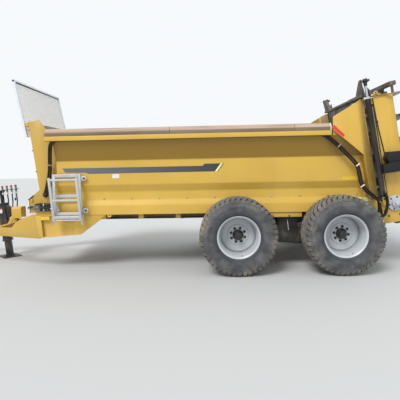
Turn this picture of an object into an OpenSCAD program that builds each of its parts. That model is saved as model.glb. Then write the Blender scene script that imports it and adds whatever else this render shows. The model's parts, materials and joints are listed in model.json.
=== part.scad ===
// Pull-type manure spreader with an apron floor, a lifting rear gate and twin upright beaters
// X runs from the hitch (low) to the beaters (high), Y across, Z up from the ground

/* [Load box] */
// Length of the steel rail along the top of a side
rail_len = 4294; // [3800:1:4500]
// Front end of the rail ahead of the bogie pivot
rail_front_x = -3659; // [-3700:1:-3600]
// Outside half width of the top rail
rail_y = 1150; // [1130:1:1180]
// Width of the top rail
rail_w = 88; // [70:1:100]
// Height of the top rail's lower face
rail_z = 2057; // [1980:1:2090]
// Height of the top rail
rail_h = 76; // [60:1:90]
// Height of the timber on the rail
timber_h = 112; // [80:1:130]
// Width of the timber on the rail
timber_w = 150; // [120:1:170]
// Thickness of the box walls
wall_t = 12; // [8:1:14]
// Outside half width of the side at the rail
brim_y = 1100; // [1080:1:1110]
// Outside half width of the side's belly
belly_y = 985; // [975:1:1000]
// Lower fold of the belly
belly_low_z = 1372; // [1340:1:1400]
// Upper fold of the belly
belly_top_z = 1745; // [1700:1:1790]
// Outside half width of the side's waist
waist_y = 932; // [925:1:940]
// Lower fold of the waist
waist_low_z = 1130; // [1120:1:1150]
// Upper fold of the waist
waist_top_z = 1258; // [1230:1:1290]
// Outside half width of the skirt
skirt_y = 965; // [955:1:970]
// Upper fold of the skirt
skirt_top_z = 1040; // [1020:1:1060]
// Lower edge of the skirt, on the frame
skirt_z = 895; // [890:1:900]
// Front end of the side panel
side_front_x = -3600; // [-3620:1:-3580]

/* [Front wall] */
// Forward lean of the front wall in degrees
wall_lean = 6.6; // [4:0.1:8]
// Foot of the front wall
wall_foot_x = -3900; // [-3920:1:-3880]
// Height of the front wall's lower edge
wall_foot_z = 1150; // [1140:1:1170]
// Length of the front wall up its slope
wall_len = 1235; // [1150:1:1300]
// Length of the mesh screen up its slope
screen_len = 916; // [800:1:950]
// Half width of the mesh screen
screen_y = 927; // [900:1:929]
// Depth of the screen's frame bars
screen_bar = 40; // [30:1:50]

/* [Apron floor] */
// Height of the apron's shafts
apron_z = 1020; // [1015:1:1025]
// Front shaft of the apron
idler_x = -3961; // [-3980:1:-3950]
// Radius of the apron chain round its shafts
chain_r = 80; // [75:1:82]
// Height of the apron chain
chain_h = 30; // [24:1:32]
// Radius of the apron's shafts
apron_shaft_r = 30; // [25:1:35]
// Thickness of the floor
floor_t = 20; // [12:1:24]
// Half width of the floor
floor_y = 900; // [880:1:910]
// Distance between apron slats
slat_gap = 320; // [280:1:360]
// Height of an apron slat
slat_h = 40; // [30:1:42]

/* [Frame] */
// Height of the main rails and cross bars
frame_h = 130; // [110:1:135]
// Width of a main rail
frame_w = 80; // [60:1:90]
// Inside half width between the main rails
frame_y = 450; // [430:1:470]
// Length of the main rails behind the gate's foot
frame_tail = 295; // [275:1:305]
// Height of a cross bar
bolster_h = 80; // [60:1:85]
// Width of a cross bar
bolster_w = 80; // [60:1:100]
// Outside half width of the front side frames
front_frame_y = 955; // [945:1:965]
// Lower edge of the front side frames
front_low_z = 531; // [525:1:545]
// Front of the side frames, where the drawbar begins
front_x = -4000; // [-4020:1:-3980]

/* [Drawbar] */
// Centre of the hitch eye ahead of the bogie pivot
hitch_x = -6260; // [-6400:1:-6200]
// Radius of the hitch eye's bore
hitch_bore_r = 26; // [24:0.5:28]
// Height of a drawbar beam
drawbar_h = 140; // [120:1:150]
// Width of a drawbar beam
drawbar_w = 90; // [70:1:100]
// Height of the drawbar's lower face
drawbar_z = 520; // [515:1:530]
// Half width of the drawbar at its nose
nose_y = 120; // [110:1:130]
// Place of the parking jack along the drawbar
jack_x = -5005; // [-5020:1:-4990]
// Place of the parking jack across, beside the power shaft
jack_y = 125; // [115:1:150]
// Backward lean of the jack's foot in degrees
jack_lean = 5; // [3:0.5:6]
// Width of the jack's square outer tube
jack_w = 128; // [110:1:135]

/* [Wheels] */
// Outside diameter of a tyre over its lugs
tyre_d = 1172; // [1150:1:1190]
// Width of a tyre
tyre_w = 500; // [460:1:506]
// Outside half width over the tyres
tyre_out_y = 1489; // [1480:1:1500]
// Distance between the front and rear axles
axle_gap = 1552; // [1540:1:1600]
// Diameter over a rim flange
rim_d = 640; // [630:1:650]
// Width of a rim over its flanges
rim_w = 420; // [400:1:430]
// Depth of the wheel disc behind the rim flange
dish = 287; // [270:1:295]
// Radius of a stub axle
axle_r = 35; // [30:1:40]
// Running clearance round an axle, a pin or a shaft
run_gap = 0.05; // [0.02:0.01:0.1]

/* [Gate and beaters] */
// Forward lean of the gate, wings and beaters in degrees
lean_a = 10; // [8:0.5:11]
// Top of the gate along its slope
gate_top_w = 1640; // [1600:1:1660]
// Thickness of the gate sheet
gate_t = 14; // [8:1:16]
// Half width of the gate
gate_y = 925; // [915:1:927]
// Half width of the gate cylinders' centres
cylinder_y = 1050; // [1046:1:1056]
// Outside diameter of a gate cylinder
cylinder_d = 90; // [80:1:96]
// Diameter of a gate cylinder's rod
rod_d = 40; // [30:1:50]
// Lift of the gate
gate_lift = 1050; // [900:1:1060]
// Outside half width of the beater wings
wing_y = 1000; // [995:1:1010]
// Thickness of a wing plate
wing_t = 10; // [6:1:12]
// Radius over the beaters' knives
beater_r = 400; // [380:1:404]
// Half the distance between the beaters
beater_y = 455; // [450:1:460]
// Radius of a beater's core tube
core_r = 110; // [90:1:120]
// Height of the beater drive's centre
drive_z = 750; // [745:1:752]

/* [Ladder] */
// Left rail of the ladder
ladder_x = -3660; // [-3670:1:-3650]
// Width of the ladder between rail centres
ladder_w = 455; // [430:1:470]
// Side of a ladder tube
ladder_tube = 32; // [26:1:34]
// Height of the folding section's hinge
fold_z = 830; // [820:1:840]
// Length of the folding section
fold_len = 690; // [650:1:700]
// Outward lean of the stowed folding section in degrees
fold_lean = 15; // [12:1:18]

/* [Hidden] */

// Rounds use this many facets in the preview
$fn = 48;
// Gap between pieces that lie on each other without being joined
seat_gap = 0.3;
// Room for booleans to cut past a face
over = 20;
rail_top_z = rail_z + rail_h;
rail_rear_x = rail_front_x + rail_len;
// The bogie's pivot keeps its distance ahead of the rails' rear end
bogie_back = 635;
bogie_x = rail_rear_x - bogie_back;
// Foot of the leaning rear frame: its gate line meets this point
foot_x = rail_rear_x + 770;
foot_z = 1000;
frame_rear_x = foot_x + frame_tail;
// Rear edge of the beater deck and its lower corner, which is the rear end of the machine
deck_rear_u = 900;
deck_low_w = 0;
// Outside radius of the hitch ring, whose front is the front end of the machine
hitch_ring_r = 62;
front_end_x = hitch_x - hitch_ring_r;
rear_end_x = foot_x + deck_rear_u*cos(lean_a) - deck_low_w*sin(lean_a);
x_mid = (front_end_x + rear_end_x)/2;
frame_top_z = skirt_z;
frame_low_z = frame_top_z - frame_h;
floor_top_z = apron_z + chain_r - chain_h/2 - seat_gap;
axle_z = tyre_d/2;
tyre_y = tyre_out_y - tyre_w/2;
apron_rear_x = foot_x + 235;
// Blind end of a hub's bore, in from the tyre's middle plane
bore_end_y = dish - rim_w/2 - 20;

// Paint and metal colours
yellow = [0.87, 0.70, 0.27];
black = [0.10, 0.10, 0.11];
grey = [0.42, 0.40, 0.37];
galvanized = [0.76, 0.77, 0.76];
silver = [0.72, 0.73, 0.74];
rubber = [0.16, 0.16, 0.16];
timber = [0.55, 0.47, 0.38];

// Puts the machine's bounding box in the middle of X
module placed() { translate([-x_mid, 0, 0]) children(); }
// A piece and its mirror image across the centre plane
module both_sides() { children(); mirror([0, 1, 0]) children(); }
// The leaning frame of the gate and beaters: x back from the gate line, z up the slope
module leaning() { translate([foot_x, 0, foot_z]) rotate([0, -lean_a, 0]) children(); }
// A plate in the XZ plane whose outer face lies at -y, t thick towards the centre
module side_plate(points, y, t) {
  translate([0, -y + t, 0]) rotate([90, 0, 0]) linear_extrude(t) polygon(points);
}
// A box given by its low and high corners
module block(low, high) { translate(low) cube(high - low); }
// A rod along Y
module rod_y(x, z, y_low, y_high, r) {
  translate([x, y_low, z]) rotate([-90, 0, 0]) cylinder(h = y_high - y_low, r = r);
}
// A rod along X
module rod_x(y, z, x_low, x_high, r) {
  translate([x_low, y, z]) rotate([0, 90, 0]) cylinder(h = x_high - x_low, r = r);
}
// A section in Y and Z drawn out along X
module along_x(x_low, x_high) {
  translate([x_low, 0, 0]) rotate([90, 0, 90]) linear_extrude(x_high - x_low) children();
}

// Chassis
module frame_rails() {
  flange = 10;
  color(yellow) both_sides() difference() {
    block([rail_front_x, -frame_y - frame_w, frame_low_z], [frame_rear_x, -frame_y, frame_top_z]);
    block([rail_front_x - over, -frame_y - frame_w - over, frame_low_z + flange],
      [frame_rear_x + over, -frame_y - flange, frame_top_z - flange]);
  }
}

// Places of the cross bars along X
bolster_x = [-3560, -2950, -2350, -1750, -1150, -560, 620, 1150];
bogie_bolster = [bogie_x - 340, bogie_x + 240];
frame_plate_t = 60;
bearing_x = [-1750, 620];
bar_end_y = 860;
module cross_bars() {
  bar_low_z = frame_top_z - bolster_h;
  // Each bar comes in three lengths, cut at the main rails
  function spans(end_y) = [[-end_y, -frame_y - frame_w], [-frame_y, frame_y], [frame_y + frame_w, end_y]];
  inner_y = front_frame_y - frame_plate_t - seat_gap;
  color(yellow) difference() {
    union() {
      for (x = bolster_x, s = spans(x < frame_tip_x ? inner_y : bar_end_y))
        block([x, s[0], bar_low_z], [x + bolster_w, s[1], frame_top_z]);
      for (s = spans(front_frame_y - wall_t))
        block([bogie_bolster[0], s[0], bar_low_z], [bogie_bolster[1], s[1], frame_top_z]);
      block([front_x + 60, -inner_y, front_low_z + 80], [front_x + 72, inner_y, frame_top_z - 60]);
      rod_x(0, drive_z, front_x + 40, front_x + 90, 2*shaft_r);
      for (x = bearing_x) block([x, -2*shaft_r, drive_z - 1.5*shaft_r], [x + bolster_w, 2*shaft_r, bar_low_z + 1]);
    }
    rod_x(0, drive_z, front_x, frame_rear_x, shaft_r + run_gap);
  }
}

// Front side frame: a recessed web with a rim round it
frame_bottom_rear_x = -3274;
frame_bottom_rear_z = front_low_z + 50;
frame_slant = 52;
frame_tip_x = -2860;
module front_side_frames() {
  rim = 14;
  outline = [[front_x, frame_top_z], [front_x + frame_slant, front_low_z], [frame_bottom_rear_x, frame_bottom_rear_z],
    [frame_tip_x, frame_top_z - 12], [frame_tip_x, frame_top_z]];
  hollow = [[front_x + 20, frame_top_z - rim], [front_x + 66, front_low_z + rim],
    [frame_bottom_rear_x - 100, frame_bottom_rear_z - 5 + rim], [frame_bottom_rear_x - 100, frame_top_z - rim]];
  color(yellow) both_sides() difference() {
    side_plate(outline, front_frame_y, frame_plate_t);
    side_plate(hollow, front_frame_y + over, frame_plate_t - 10 + over);
  }
}

// Drawbar beam from the front side frame to the nose
beam_from = [front_x + 80, front_frame_y - drawbar_w/2];
beam_to = [-6120, nose_y - drawbar_w/2];
beam_len = norm(beam_to - beam_from);
beam_a = atan2(beam_from[1] - beam_to[1], beam_from[0] - beam_to[0]);
module on_beam() {
  translate([beam_from[0], -beam_from[1], 0]) rotate([0, 0, 180 - beam_a]) children();
}
module drawbar_beams() {
  gusset = [[0, frame_top_z + 15], [130, frame_top_z + 15], [290, 861], [430, 813], [518, 768], [610, 680],
    [630, drawbar_z + drawbar_h], [0, drawbar_z + drawbar_h]];
  cut = 400;
  color(yellow) both_sides() difference() {
    on_beam() {
      block([0, -drawbar_w/2, drawbar_z], [beam_len + 3*over, drawbar_w/2, drawbar_z + drawbar_h]);
      translate([0, drawbar_w/2, 0]) rotate([90, 0, 0]) linear_extrude(wall_t) polygon(gusset);
    }
    // The beams meet the side frames' slanted front and the nose plate's back
    side_plate([[front_x - seat_gap, frame_top_z + 2*over], [front_x - seat_gap, frame_top_z],
      [front_x + frame_slant - seat_gap, front_low_z], [front_x + frame_slant - seat_gap, front_low_z - cut],
      [front_x + cut, front_low_z - cut], [front_x + cut, frame_top_z + 2*over]], front_frame_y + cut, 2*cut);
    block([beam_to[0] - cut, -cut, drawbar_z - over], [beam_to[0] - 20 + seat_gap, cut, drawbar_z + drawbar_h + over]);
  }
}

cross_x = jack_x + 75;
function beam_y(x) = beam_from[1] + (x - beam_from[0])*(beam_to[1] - beam_from[1])/(beam_to[0] - beam_from[0]);
module drawbar_crossmember() {
  depth = 90;
  inner = beam_y(cross_x)  - drawbar_w/2/cos(beam_a);
  inner_back = beam_y(cross_x + depth) - drawbar_w/2/cos(beam_a);
  color(yellow) translate([0, 0, drawbar_z + 10]) linear_extrude(drawbar_h - 20)
    polygon([[cross_x, -inner], [cross_x + depth, -inner_back], [cross_x + depth, inner_back], [cross_x, inner]]);
}

module hitch() {
  hitch_mid_z = drawbar_z + drawbar_h/2;
  eye_h = 50;
  color(black) difference() {
    union() {
      translate([hitch_x, 0, hitch_mid_z - eye_h/2]) cylinder(h = eye_h, r = hitch_ring_r);
      block([hitch_x, -50, hitch_mid_z - eye_h/2], [beam_to[0] - 20, 50, hitch_mid_z + eye_h/2]);
      block([beam_to[0] - 60, -nose_y, drawbar_z], [beam_to[0] - 20, nose_y, drawbar_z + drawbar_h]);
    }
    translate([hitch_x, 0, hitch_mid_z - eye_h]) cylinder(h = 2*eye_h, r = hitch_bore_r);
  }
}

// Load box
// Folds of a side from the skirt up: outside half width, height
side_folds = [[skirt_y, skirt_z], [skirt_y, skirt_top_z], [waist_y, waist_low_z], [waist_y, waist_top_z],
  [belly_y, belly_low_z], [belly_y, belly_top_z], [brim_y, rail_z]];
module side_panel() {
  inner = [for (i = [len(side_folds) - 1:-1:0]) [side_folds[i][0] - wall_t, side_folds[i][1]]];
  post_u = -150;
  color(yellow) difference() {
    union() {
      along_x(side_front_x, foot_x + over) polygon([for (p = concat(side_folds, inner)) [-p[0], p[1]]]);
      along_x(side_front_x, side_front_x + wall_t)
        polygon(concat([for (p = side_folds) [-p[0], p[1]]], [[-waist_y + wall_t, rail_z], [-waist_y + wall_t, skirt_z]]));
    }
    leaning() block([post_u, -1500, -400], [1000, 0, 1600]);
  }
}
module side_panel_left() { side_panel(); }
module side_panel_right() { mirror([0, 1, 0]) side_panel(); }

module front_wall() {
  inner_y = waist_y - wall_t - seat_gap;
  color(yellow) translate([wall_foot_x, 0, wall_foot_z]) rotate([0, -wall_lean, 0]) {
    block([0, -inner_y, 0], [wall_t, inner_y, wall_len]);
    block([-wall_flange, -inner_y, wall_len - wall_flange], [0, inner_y, wall_len]);
    block([-50, -inner_y, 0], [0, inner_y, 50]);
  }
}

module front_corner_plates() {
  slot_h = 2*apron_shaft_r + 40;
  outline = [[front_x + 5, skirt_z + seat_gap], [front_x + 5, skirt_z + 40], [front_x - 105, skirt_z + 40], [front_x - 110, 1155], [wall_foot_x - 15, 1306],
    [wall_foot_x - 138, 2379], [wall_foot_x + 39, 2405], [rail_front_x - 101, 2267],
    [rail_front_x - seat_gap, rail_top_z], [rail_front_x - seat_gap, rail_z], [side_front_x - seat_gap, rail_z],
    [side_front_x - seat_gap, skirt_z + seat_gap]];
  color(yellow) both_sides() difference() {
    side_plate(outline, waist_y, wall_t);
    block([idler_x - 60, -waist_y - over, apron_z - slot_h/2], [idler_x + 220, -waist_y + 2*over, apron_z + slot_h/2]);
  }
}

// The screen leans a little more than the wall, so it meets the lower edge of the wall's top flange
wall_flange = 60;
flange_x = wall_foot_x - (wall_len - wall_flange)*sin(wall_lean) - wall_flange*cos(wall_lean);
flange_z = wall_foot_z + (wall_len - wall_flange)*cos(wall_lean) - wall_flange*sin(wall_lean);
screen_lean = 10;
// Length of the screen below the flange's edge
screen_lap = 167;
module front_screen() {
  bar = screen_bar;
  mesh_t = 4;
  mesh_pitch = 125;
  cols = floor(2*(screen_y - bar)/mesh_pitch - 0.8);
  rows = floor((screen_len - bar)/mesh_pitch - 0.9);
  color(galvanized) translate([flange_x - seat_gap, 0, flange_z]) rotate([0, -screen_lean, 0])
    translate([0, 0, -screen_lap]) {
      translate([-mesh_t, 0, 0]) rotate([90, 0, 90]) linear_extrude(mesh_t) difference() {
        translate([-screen_y + bar, 0]) square([2*(screen_y - bar), screen_len - bar]);
        for (i = [0:cols - 1], j = [0:rows - 1], k = [0, 1])
          translate([mesh_pitch*(i - (cols - 1)/2 + k/2 - 0.25), mesh_pitch*(j + 0.7 + k/2)])
            rotate(45) square(mesh_pitch*0.62, center = true);
      }
      for (y = [-screen_y, screen_y - bar]) block([-bar, y, 0], [0, y + bar, screen_len - bar]);
      block([-bar, -screen_y, screen_len - bar], [0, screen_y, screen_len]);
    }
}

module floor() {
  color(grey) block([idler_x + 150, -floor_y, floor_top_z - floor_t], [apron_rear_x - 130, floor_y, floor_top_z]);
}
// Floor sills join the two sides under the floor
module floor_sills() {
  sill_h = 60;
  sill_w = 50;
  count = 8;
  top_z = floor_top_z - floor_t - seat_gap;
  // Inside of the skirt's slope at the sill's top
  end_y = skirt_y - wall_t - (skirt_y - waist_y)*(top_z - skirt_top_z)/(waist_low_z - skirt_top_z) - seat_gap;
  first = side_front_x + 40;
  pitch = (foot_x - 160 - 2*sill_w - first)/(count - 1);
  color(yellow) for (i = [0:count - 1])
    block([first + i*pitch, -end_y, top_z - sill_h], [first + i*pitch + sill_w, end_y, top_z]);
}

// Apron: chains round both shafts with slats across them
chain_y = [-640, 0, 640];
module apron() {
  chain_w = 40;
  slat_y = floor_y - 20;
  slat_w = 50;
  run = apron_rear_x - idler_x;
  count = floor(run/slat_gap);
  color(grey) {
    for (y = chain_y) difference() {
      union() {
        for (x = [idler_x, apron_rear_x]) rod_y(x, apron_z, y - chain_w/2, y + chain_w/2, chain_r + chain_h/2);
        block([idler_x, y - chain_w/2, apron_z - chain_r - chain_h/2],
          [apron_rear_x, y + chain_w/2, apron_z + chain_r + chain_h/2]);
      }
      for (x = [idler_x, apron_rear_x]) rod_y(x, apron_z, y - chain_w, y + chain_w, chain_r - chain_h/2);
      block([idler_x, y - chain_w, apron_z - chain_r + chain_h/2],
        [apron_rear_x, y + chain_w, apron_z + chain_r - chain_h/2]);
    }
    for (i = [0:count - 1], z = [1, -1])
      translate([idler_x + (i + 0.5)*run/count - slat_w/2, -slat_y, apron_z + z*(chain_r + 8) - slat_h/2])
        cube([slat_w, 2*slat_y, slat_h]);
  }
}

module idler_shaft() {
  bearing = 90;
  shaft_y = waist_y + 40;
  color(black) {
    rod_y(idler_x, apron_z, -shaft_y, shaft_y, apron_shaft_r);
    for (y = chain_y) rod_y(idler_x, apron_z, y - 25, y + 25, chain_r - chain_h/2 - seat_gap);
    both_sides() {
      block([idler_x - bearing/2, -waist_y - 40, apron_z - bearing/2], [idler_x + bearing/2, -waist_y - seat_gap, apron_z + bearing/2]);
      rod_x(-waist_y - 20, apron_z, idler_x - 150, idler_x + 210, 13);
    }
  }
}

module apron_drive() {
  flange_r = 118;
  color(silver) {
    rod_y(apron_rear_x, apron_z, -wing_y - 110, wing_y + 40, apron_shaft_r);
    for (y = chain_y) rod_y(apron_rear_x, apron_z, y - 25, y + 25, chain_r - chain_h/2 - seat_gap);
    rod_y(apron_rear_x, apron_z, -wing_y - 30, -wing_y - seat_gap, flange_r);
    rod_y(apron_rear_x, apron_z, -wing_y - 70, -wing_y - 30, 60);
    rod_y(apron_rear_x, apron_z, wing_y + seat_gap, wing_y + 30, flange_r);
    rod_y(apron_rear_x, apron_z, wing_y + 30, wing_y + 210, 68);
    rod_y(apron_rear_x, apron_z, wing_y + 210, wing_y + 330, 50);
  }
}

// The rail is open below, behind its outer lip, for the gate hoses
rail_lip = 7;
channel_w = 40;
channel_h = rail_h - 12;
module top_rails() {
  color(yellow) both_sides() difference() {
    block([rail_front_x, -rail_y, rail_z], [rail_rear_x, -rail_y + rail_w, rail_top_z]);
    block([rail_front_x - over, -rail_y + rail_lip, rail_z - over],
      [rail_rear_x + over, -rail_y + rail_lip + channel_w, rail_z + channel_h]);
  }
}
module timber_rails() {
  chamfer = 60;
  color(timber) both_sides() along_x(rail_front_x, rail_rear_x)
    polygon([[-rail_y + timber_w, rail_top_z], [-rail_y, rail_top_z], [-rail_y, rail_top_z + timber_h - chamfer],
      [-rail_y + chamfer, rail_top_z + timber_h], [-rail_y + timber_w, rail_top_z + timber_h]]);
}

// Rear: side panels above the rails, posts, gate, wings, beaters
panel_y = brim_y + wall_t + seat_gap;
module rear_side_panels() {
  front_x_panel = rail_rear_x + 25;
  low_z = rail_top_z;
  tip = [foot_x - 123, belly_top_z - 131];
  // Place along the panel's lower edge where it crosses the brim of the side
  brim_x = front_x_panel + (tip[0] - front_x_panel)*(low_z - rail_z)/(low_z - tip[1]);
  outline = [[front_x_panel, rail_z + 275], [foot_x - 302, foot_z + gate_top_w - 42], tip, [brim_x, rail_z], [front_x_panel, rail_z]];
  // Ledge folded out along the panel's lower edge
  ledge_t = 10;
  ledge = [[front_x_panel, low_z], [front_x_panel, low_z + ledge_t*1.2], [tip[0], tip[1] + ledge_t*1.2], tip];
  color(yellow) both_sides() difference() {
    union() {
      side_plate(outline, panel_y, wall_t);
      side_plate(ledge, panel_y + 34, wall_t + 34);
    }
    leaning() block([-150, -1500, -400], [1000, 0, 2000]);
  }
}

post_front_u = -150;
guide_low_w = -40;
module gate_posts() {
  lip = 8;
  post_top_w = gate_top_w - 20;
  rear_y = 975;
  // The outer face slants in from the side panel to the guide
  slant = (panel_y - rear_y)/(-5 - post_front_u);
  function face_y(u) = -panel_y + slant*(u - post_front_u);
  wall = lip*sqrt(1 + slant*slant);
  color(yellow) both_sides() leaning() translate([0, 0, guide_low_w]) linear_extrude(post_top_w - guide_low_w)
    polygon([[post_front_u, -panel_y], [-5, -rear_y], [-5, -waist_y - lip], [28, -waist_y - lip], [28, -900],
      [20, -900], [20, -waist_y], [-5, -waist_y], [-5, -900], [-13, -900], [-13, face_y(-13) + wall],
      [post_front_u + lip, face_y(post_front_u + lip) + wall], [post_front_u + lip, -waist_y],
      [post_front_u, -waist_y]]);
}

wing_front_u = 110;
wing_fold_u = 330;
wing_rear_u = 470;
wing_low_w = -320;
wing_top_w = 1617;
module wing() {
  bend = 50;
  ear_gap = 22;
  ear_t = 10;
  ear_h = 100;
  drive_back = apron_rear_x - foot_x;
  drive_up = apron_z - foot_z;
  color(yellow) leaning() difference() {
    translate([0, 0, wing_low_w]) linear_extrude(wing_top_w + 60 - wing_low_w)
      polygon([[34, -wing_y], [wing_fold_u, -wing_y], [wing_rear_u, -wing_y + bend], [wing_rear_u, -wing_y + 95],
        [wing_rear_u - wing_t, -wing_y + 95], [wing_rear_u - wing_t, -wing_y + bend + wing_t],
        [wing_fold_u, -wing_y + wing_t], [34, -wing_y + wing_t]]);
    block([0, -wing_y - over, pin_low_w - ear_h + ear_t], [wing_front_u, -wing_y + 100, wing_top_w + 100]);
    rotate([90, 0, 0]) linear_extrude(1500)
      polygon([[0, wing_top_w - 8], [wing_rear_u + 10, wing_top_w], [wing_rear_u + 10, 2000], [0, 2000]]);
    translate([drive_back*cos(lean_a) + drive_up*sin(lean_a), 0, drive_up*cos(lean_a) - drive_back*sin(lean_a)])
      rotate([90, 0, 0]) cylinder(h = 1500, r = apron_shaft_r + 20);
  }
  // Bracket of the gate cylinder
  base_w = pin_low_w - ear_h;
  color(yellow) leaning() difference() {
    union() {
      block([34, -cylinder_y - ear_gap - ear_t, base_w], [100, -wing_y + wing_t, base_w + ear_t]);
      for (y = [-cylinder_y - ear_gap - ear_t, -cylinder_y + ear_gap])
        block([34, y, base_w], [86, y + ear_t, pin_low_w + 28]);
    }
    rod_y(cylinder_u, pin_low_w, -cylinder_y - 2*ear_gap, -cylinder_y + 2*ear_gap, pin_r + run_gap);
  }
}
module wing_left() { wing(); }
module wing_right() { mirror([0, 1, 0]) wing(); }

beater_u = 490;
beam_low_w = wing_top_w + 123;
module top_beam() {
  beam_h = 62;
  color(grey) leaning() {
    difference() {
      union() {
        block([beater_u - 45, -970, beam_low_w], [beater_u + 45, 970, beam_low_w + beam_h]);
        for (y = [-beater_y, beater_y]) translate([beater_u, y, beam_low_w - 30]) cylinder(h = 30, r = 70);
      }
      for (y = [-beater_y, beater_y]) translate([beater_u, y, beam_low_w - 31]) cylinder(h = 120, r = core_r/3 + run_gap);
    }
    both_sides()
      block([wing_rear_u - wing_t, -wing_y + 55, wing_top_w + seat_gap], [wing_rear_u + 30, -wing_y + 63, beam_low_w + 1]);
  }
}

deck_w = 60;
module beater_deck() {
  deck_t = 12;
  gap = wing_t + seat_gap;
  // Edge of the deck inside the wing, then behind it
  rim = [[305, wing_y - gap], [wing_fold_u, wing_y - gap], [wing_rear_u - gap, wing_y - 50 - gap],
    [wing_rear_u - gap, 900], [deck_rear_u, 900]];
  color(yellow) leaning() difference() {
    union() {
      translate([0, 0, deck_w]) linear_extrude(deck_t) polygon(concat(
        [for (p = rim) p], [for (i = [len(rim) - 1:-1:0]) [rim[i][0], -rim[i][1]]]));
      block([deck_rear_u - 10, -900, deck_low_w], [deck_rear_u, 900, deck_w]);
      for (y = [-880, -250, 240, 870]) block([305, y, deck_low_w], [deck_rear_u - 10, y + 10, deck_w]);
    }
    for (y = [-beater_y, beater_y]) translate([beater_u, y, -over]) cylinder(h = 200, r = core_r/3 + 10);
  }
}

gear_w = (drive_z - foot_z - beater_u*sin(lean_a))/cos(lean_a);
gear_x = foot_x + beater_u*cos(lean_a) - gear_w*sin(lean_a);
gear_half = 105;
module beater_gearboxes() {
  color(grey) difference() {
    union() {
      for (y = [-beater_y, beater_y]) leaning() {
        block([beater_u - gear_half, y - gear_half, gear_w - gear_half], [beater_u + gear_half, y + gear_half, gear_w + gear_half]);
        translate([beater_u, y, gear_w + gear_half]) cylinder(h = deck_low_w - seat_gap - gear_w - gear_half, r = 70);
      }
      block([gear_x - gear_half, -gear_half, drive_z - gear_half], [gear_x + gear_half, gear_half, drive_z + gear_half]);
      rod_y(gear_x, drive_z, -beater_y, beater_y, 50);
      block([frame_rear_x + seat_gap, -600, frame_low_z + 10], [frame_rear_x + 16, 600, frame_top_z]);
      for (y = [-beater_y - 60, beater_y - 60]) block([frame_rear_x + 16, y, frame_low_z + 20], [gear_x - 80, y + 120, frame_top_z - 60]);
    }
    for (y = [-beater_y, beater_y]) leaning() translate([beater_u, y, gear_w]) cylinder(h = 600, r = core_r/3 + run_gap);
    rod_x(0, drive_z, gear_x - gear_half - over, gear_x - 40, 25 + run_gap);
    rod_x(0, drive_z, frame_rear_x - over, frame_rear_x + 50, 60);
  }
}

cylinder_u = 58;
pin_low_w = 80;
pin_r = 16;
pin_top_w = gate_top_w + 229;
barrel_top_w = gate_top_w - 40;
module gate_cylinders() {
  barrel_low_w = pin_low_w + 40;
  color(black) both_sides() leaning() {
    difference() {
      union() {
        translate([cylinder_u, -cylinder_y, barrel_low_w]) cylinder(h = barrel_top_w - barrel_low_w, r = cylinder_d/2);
        rod_y(cylinder_u, pin_low_w, -cylinder_y - 20, -cylinder_y + 20, 38);
        block([cylinder_u - 25, -cylinder_y - 20, pin_low_w], [cylinder_u + 25, -cylinder_y + 20, barrel_low_w + 5]);
      }
      translate([cylinder_u, -cylinder_y, barrel_low_w + 25]) cylinder(h = 2000, r = rod_d/2 + run_gap);
    }
    rod_y(cylinder_u, pin_low_w, -cylinder_y - 36, -cylinder_y + 36, pin_r);
  }
}

// Bogie
beam_in_y = 720;
beam_out_y = 840;
pivot_z = 500;
pivot_r = 45;
module walking_beams() {
  end_half = 85;
  mid_half = 110;
  half_gap = axle_gap/2;
  color(black) both_sides() translate([bogie_x, 0, 0]) difference() {
    union() {
      side_plate([[-half_gap - 90, axle_z - end_half], [-half_gap + 100, axle_z - end_half], [-150, pivot_z - mid_half],
        [150, pivot_z - mid_half], [half_gap - 100, axle_z - end_half], [half_gap + 90, axle_z - end_half],
        [half_gap + 90, axle_z + end_half - 60], [half_gap, axle_z + end_half], [150, pivot_z + mid_half],
        [-150, pivot_z + mid_half], [-half_gap, axle_z + end_half], [-half_gap - 90, axle_z + end_half - 60]],
        beam_out_y, beam_out_y - beam_in_y);
      for (x = [-half_gap, half_gap]) {
        rod_y(x, axle_z, -tyre_y + bore_end_y + 1, -beam_out_y, axle_r);
        rod_y(x, axle_z, -beam_out_y - 30, -beam_out_y, axle_r + 25);
      }
    }
    rod_y(0, pivot_z, -beam_out_y - over, -beam_in_y + over, pivot_r + run_gap);
  }
}

module bogie_pivots() {
  hanger_t = 18;
  top_z = frame_top_z - bolster_h;
  hanger = [[-130, top_z], [190, top_z], [190, 520], [110, 410], [-60, 410], [-130, 480]];
  color(black) translate([bogie_x, 0, 0]) {
    both_sides() {
      side_plate(hanger, beam_out_y + hanger_t + 1, hanger_t);
      side_plate(hanger, beam_in_y - 1, hanger_t);
      block([-160, -beam_out_y - 40, top_z - 20], [220, -frame_y - frame_w - 1, top_z]);
    }
    rod_y(0, pivot_z, -beam_out_y - 40, beam_out_y + 40, pivot_r);
  }
}

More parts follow.
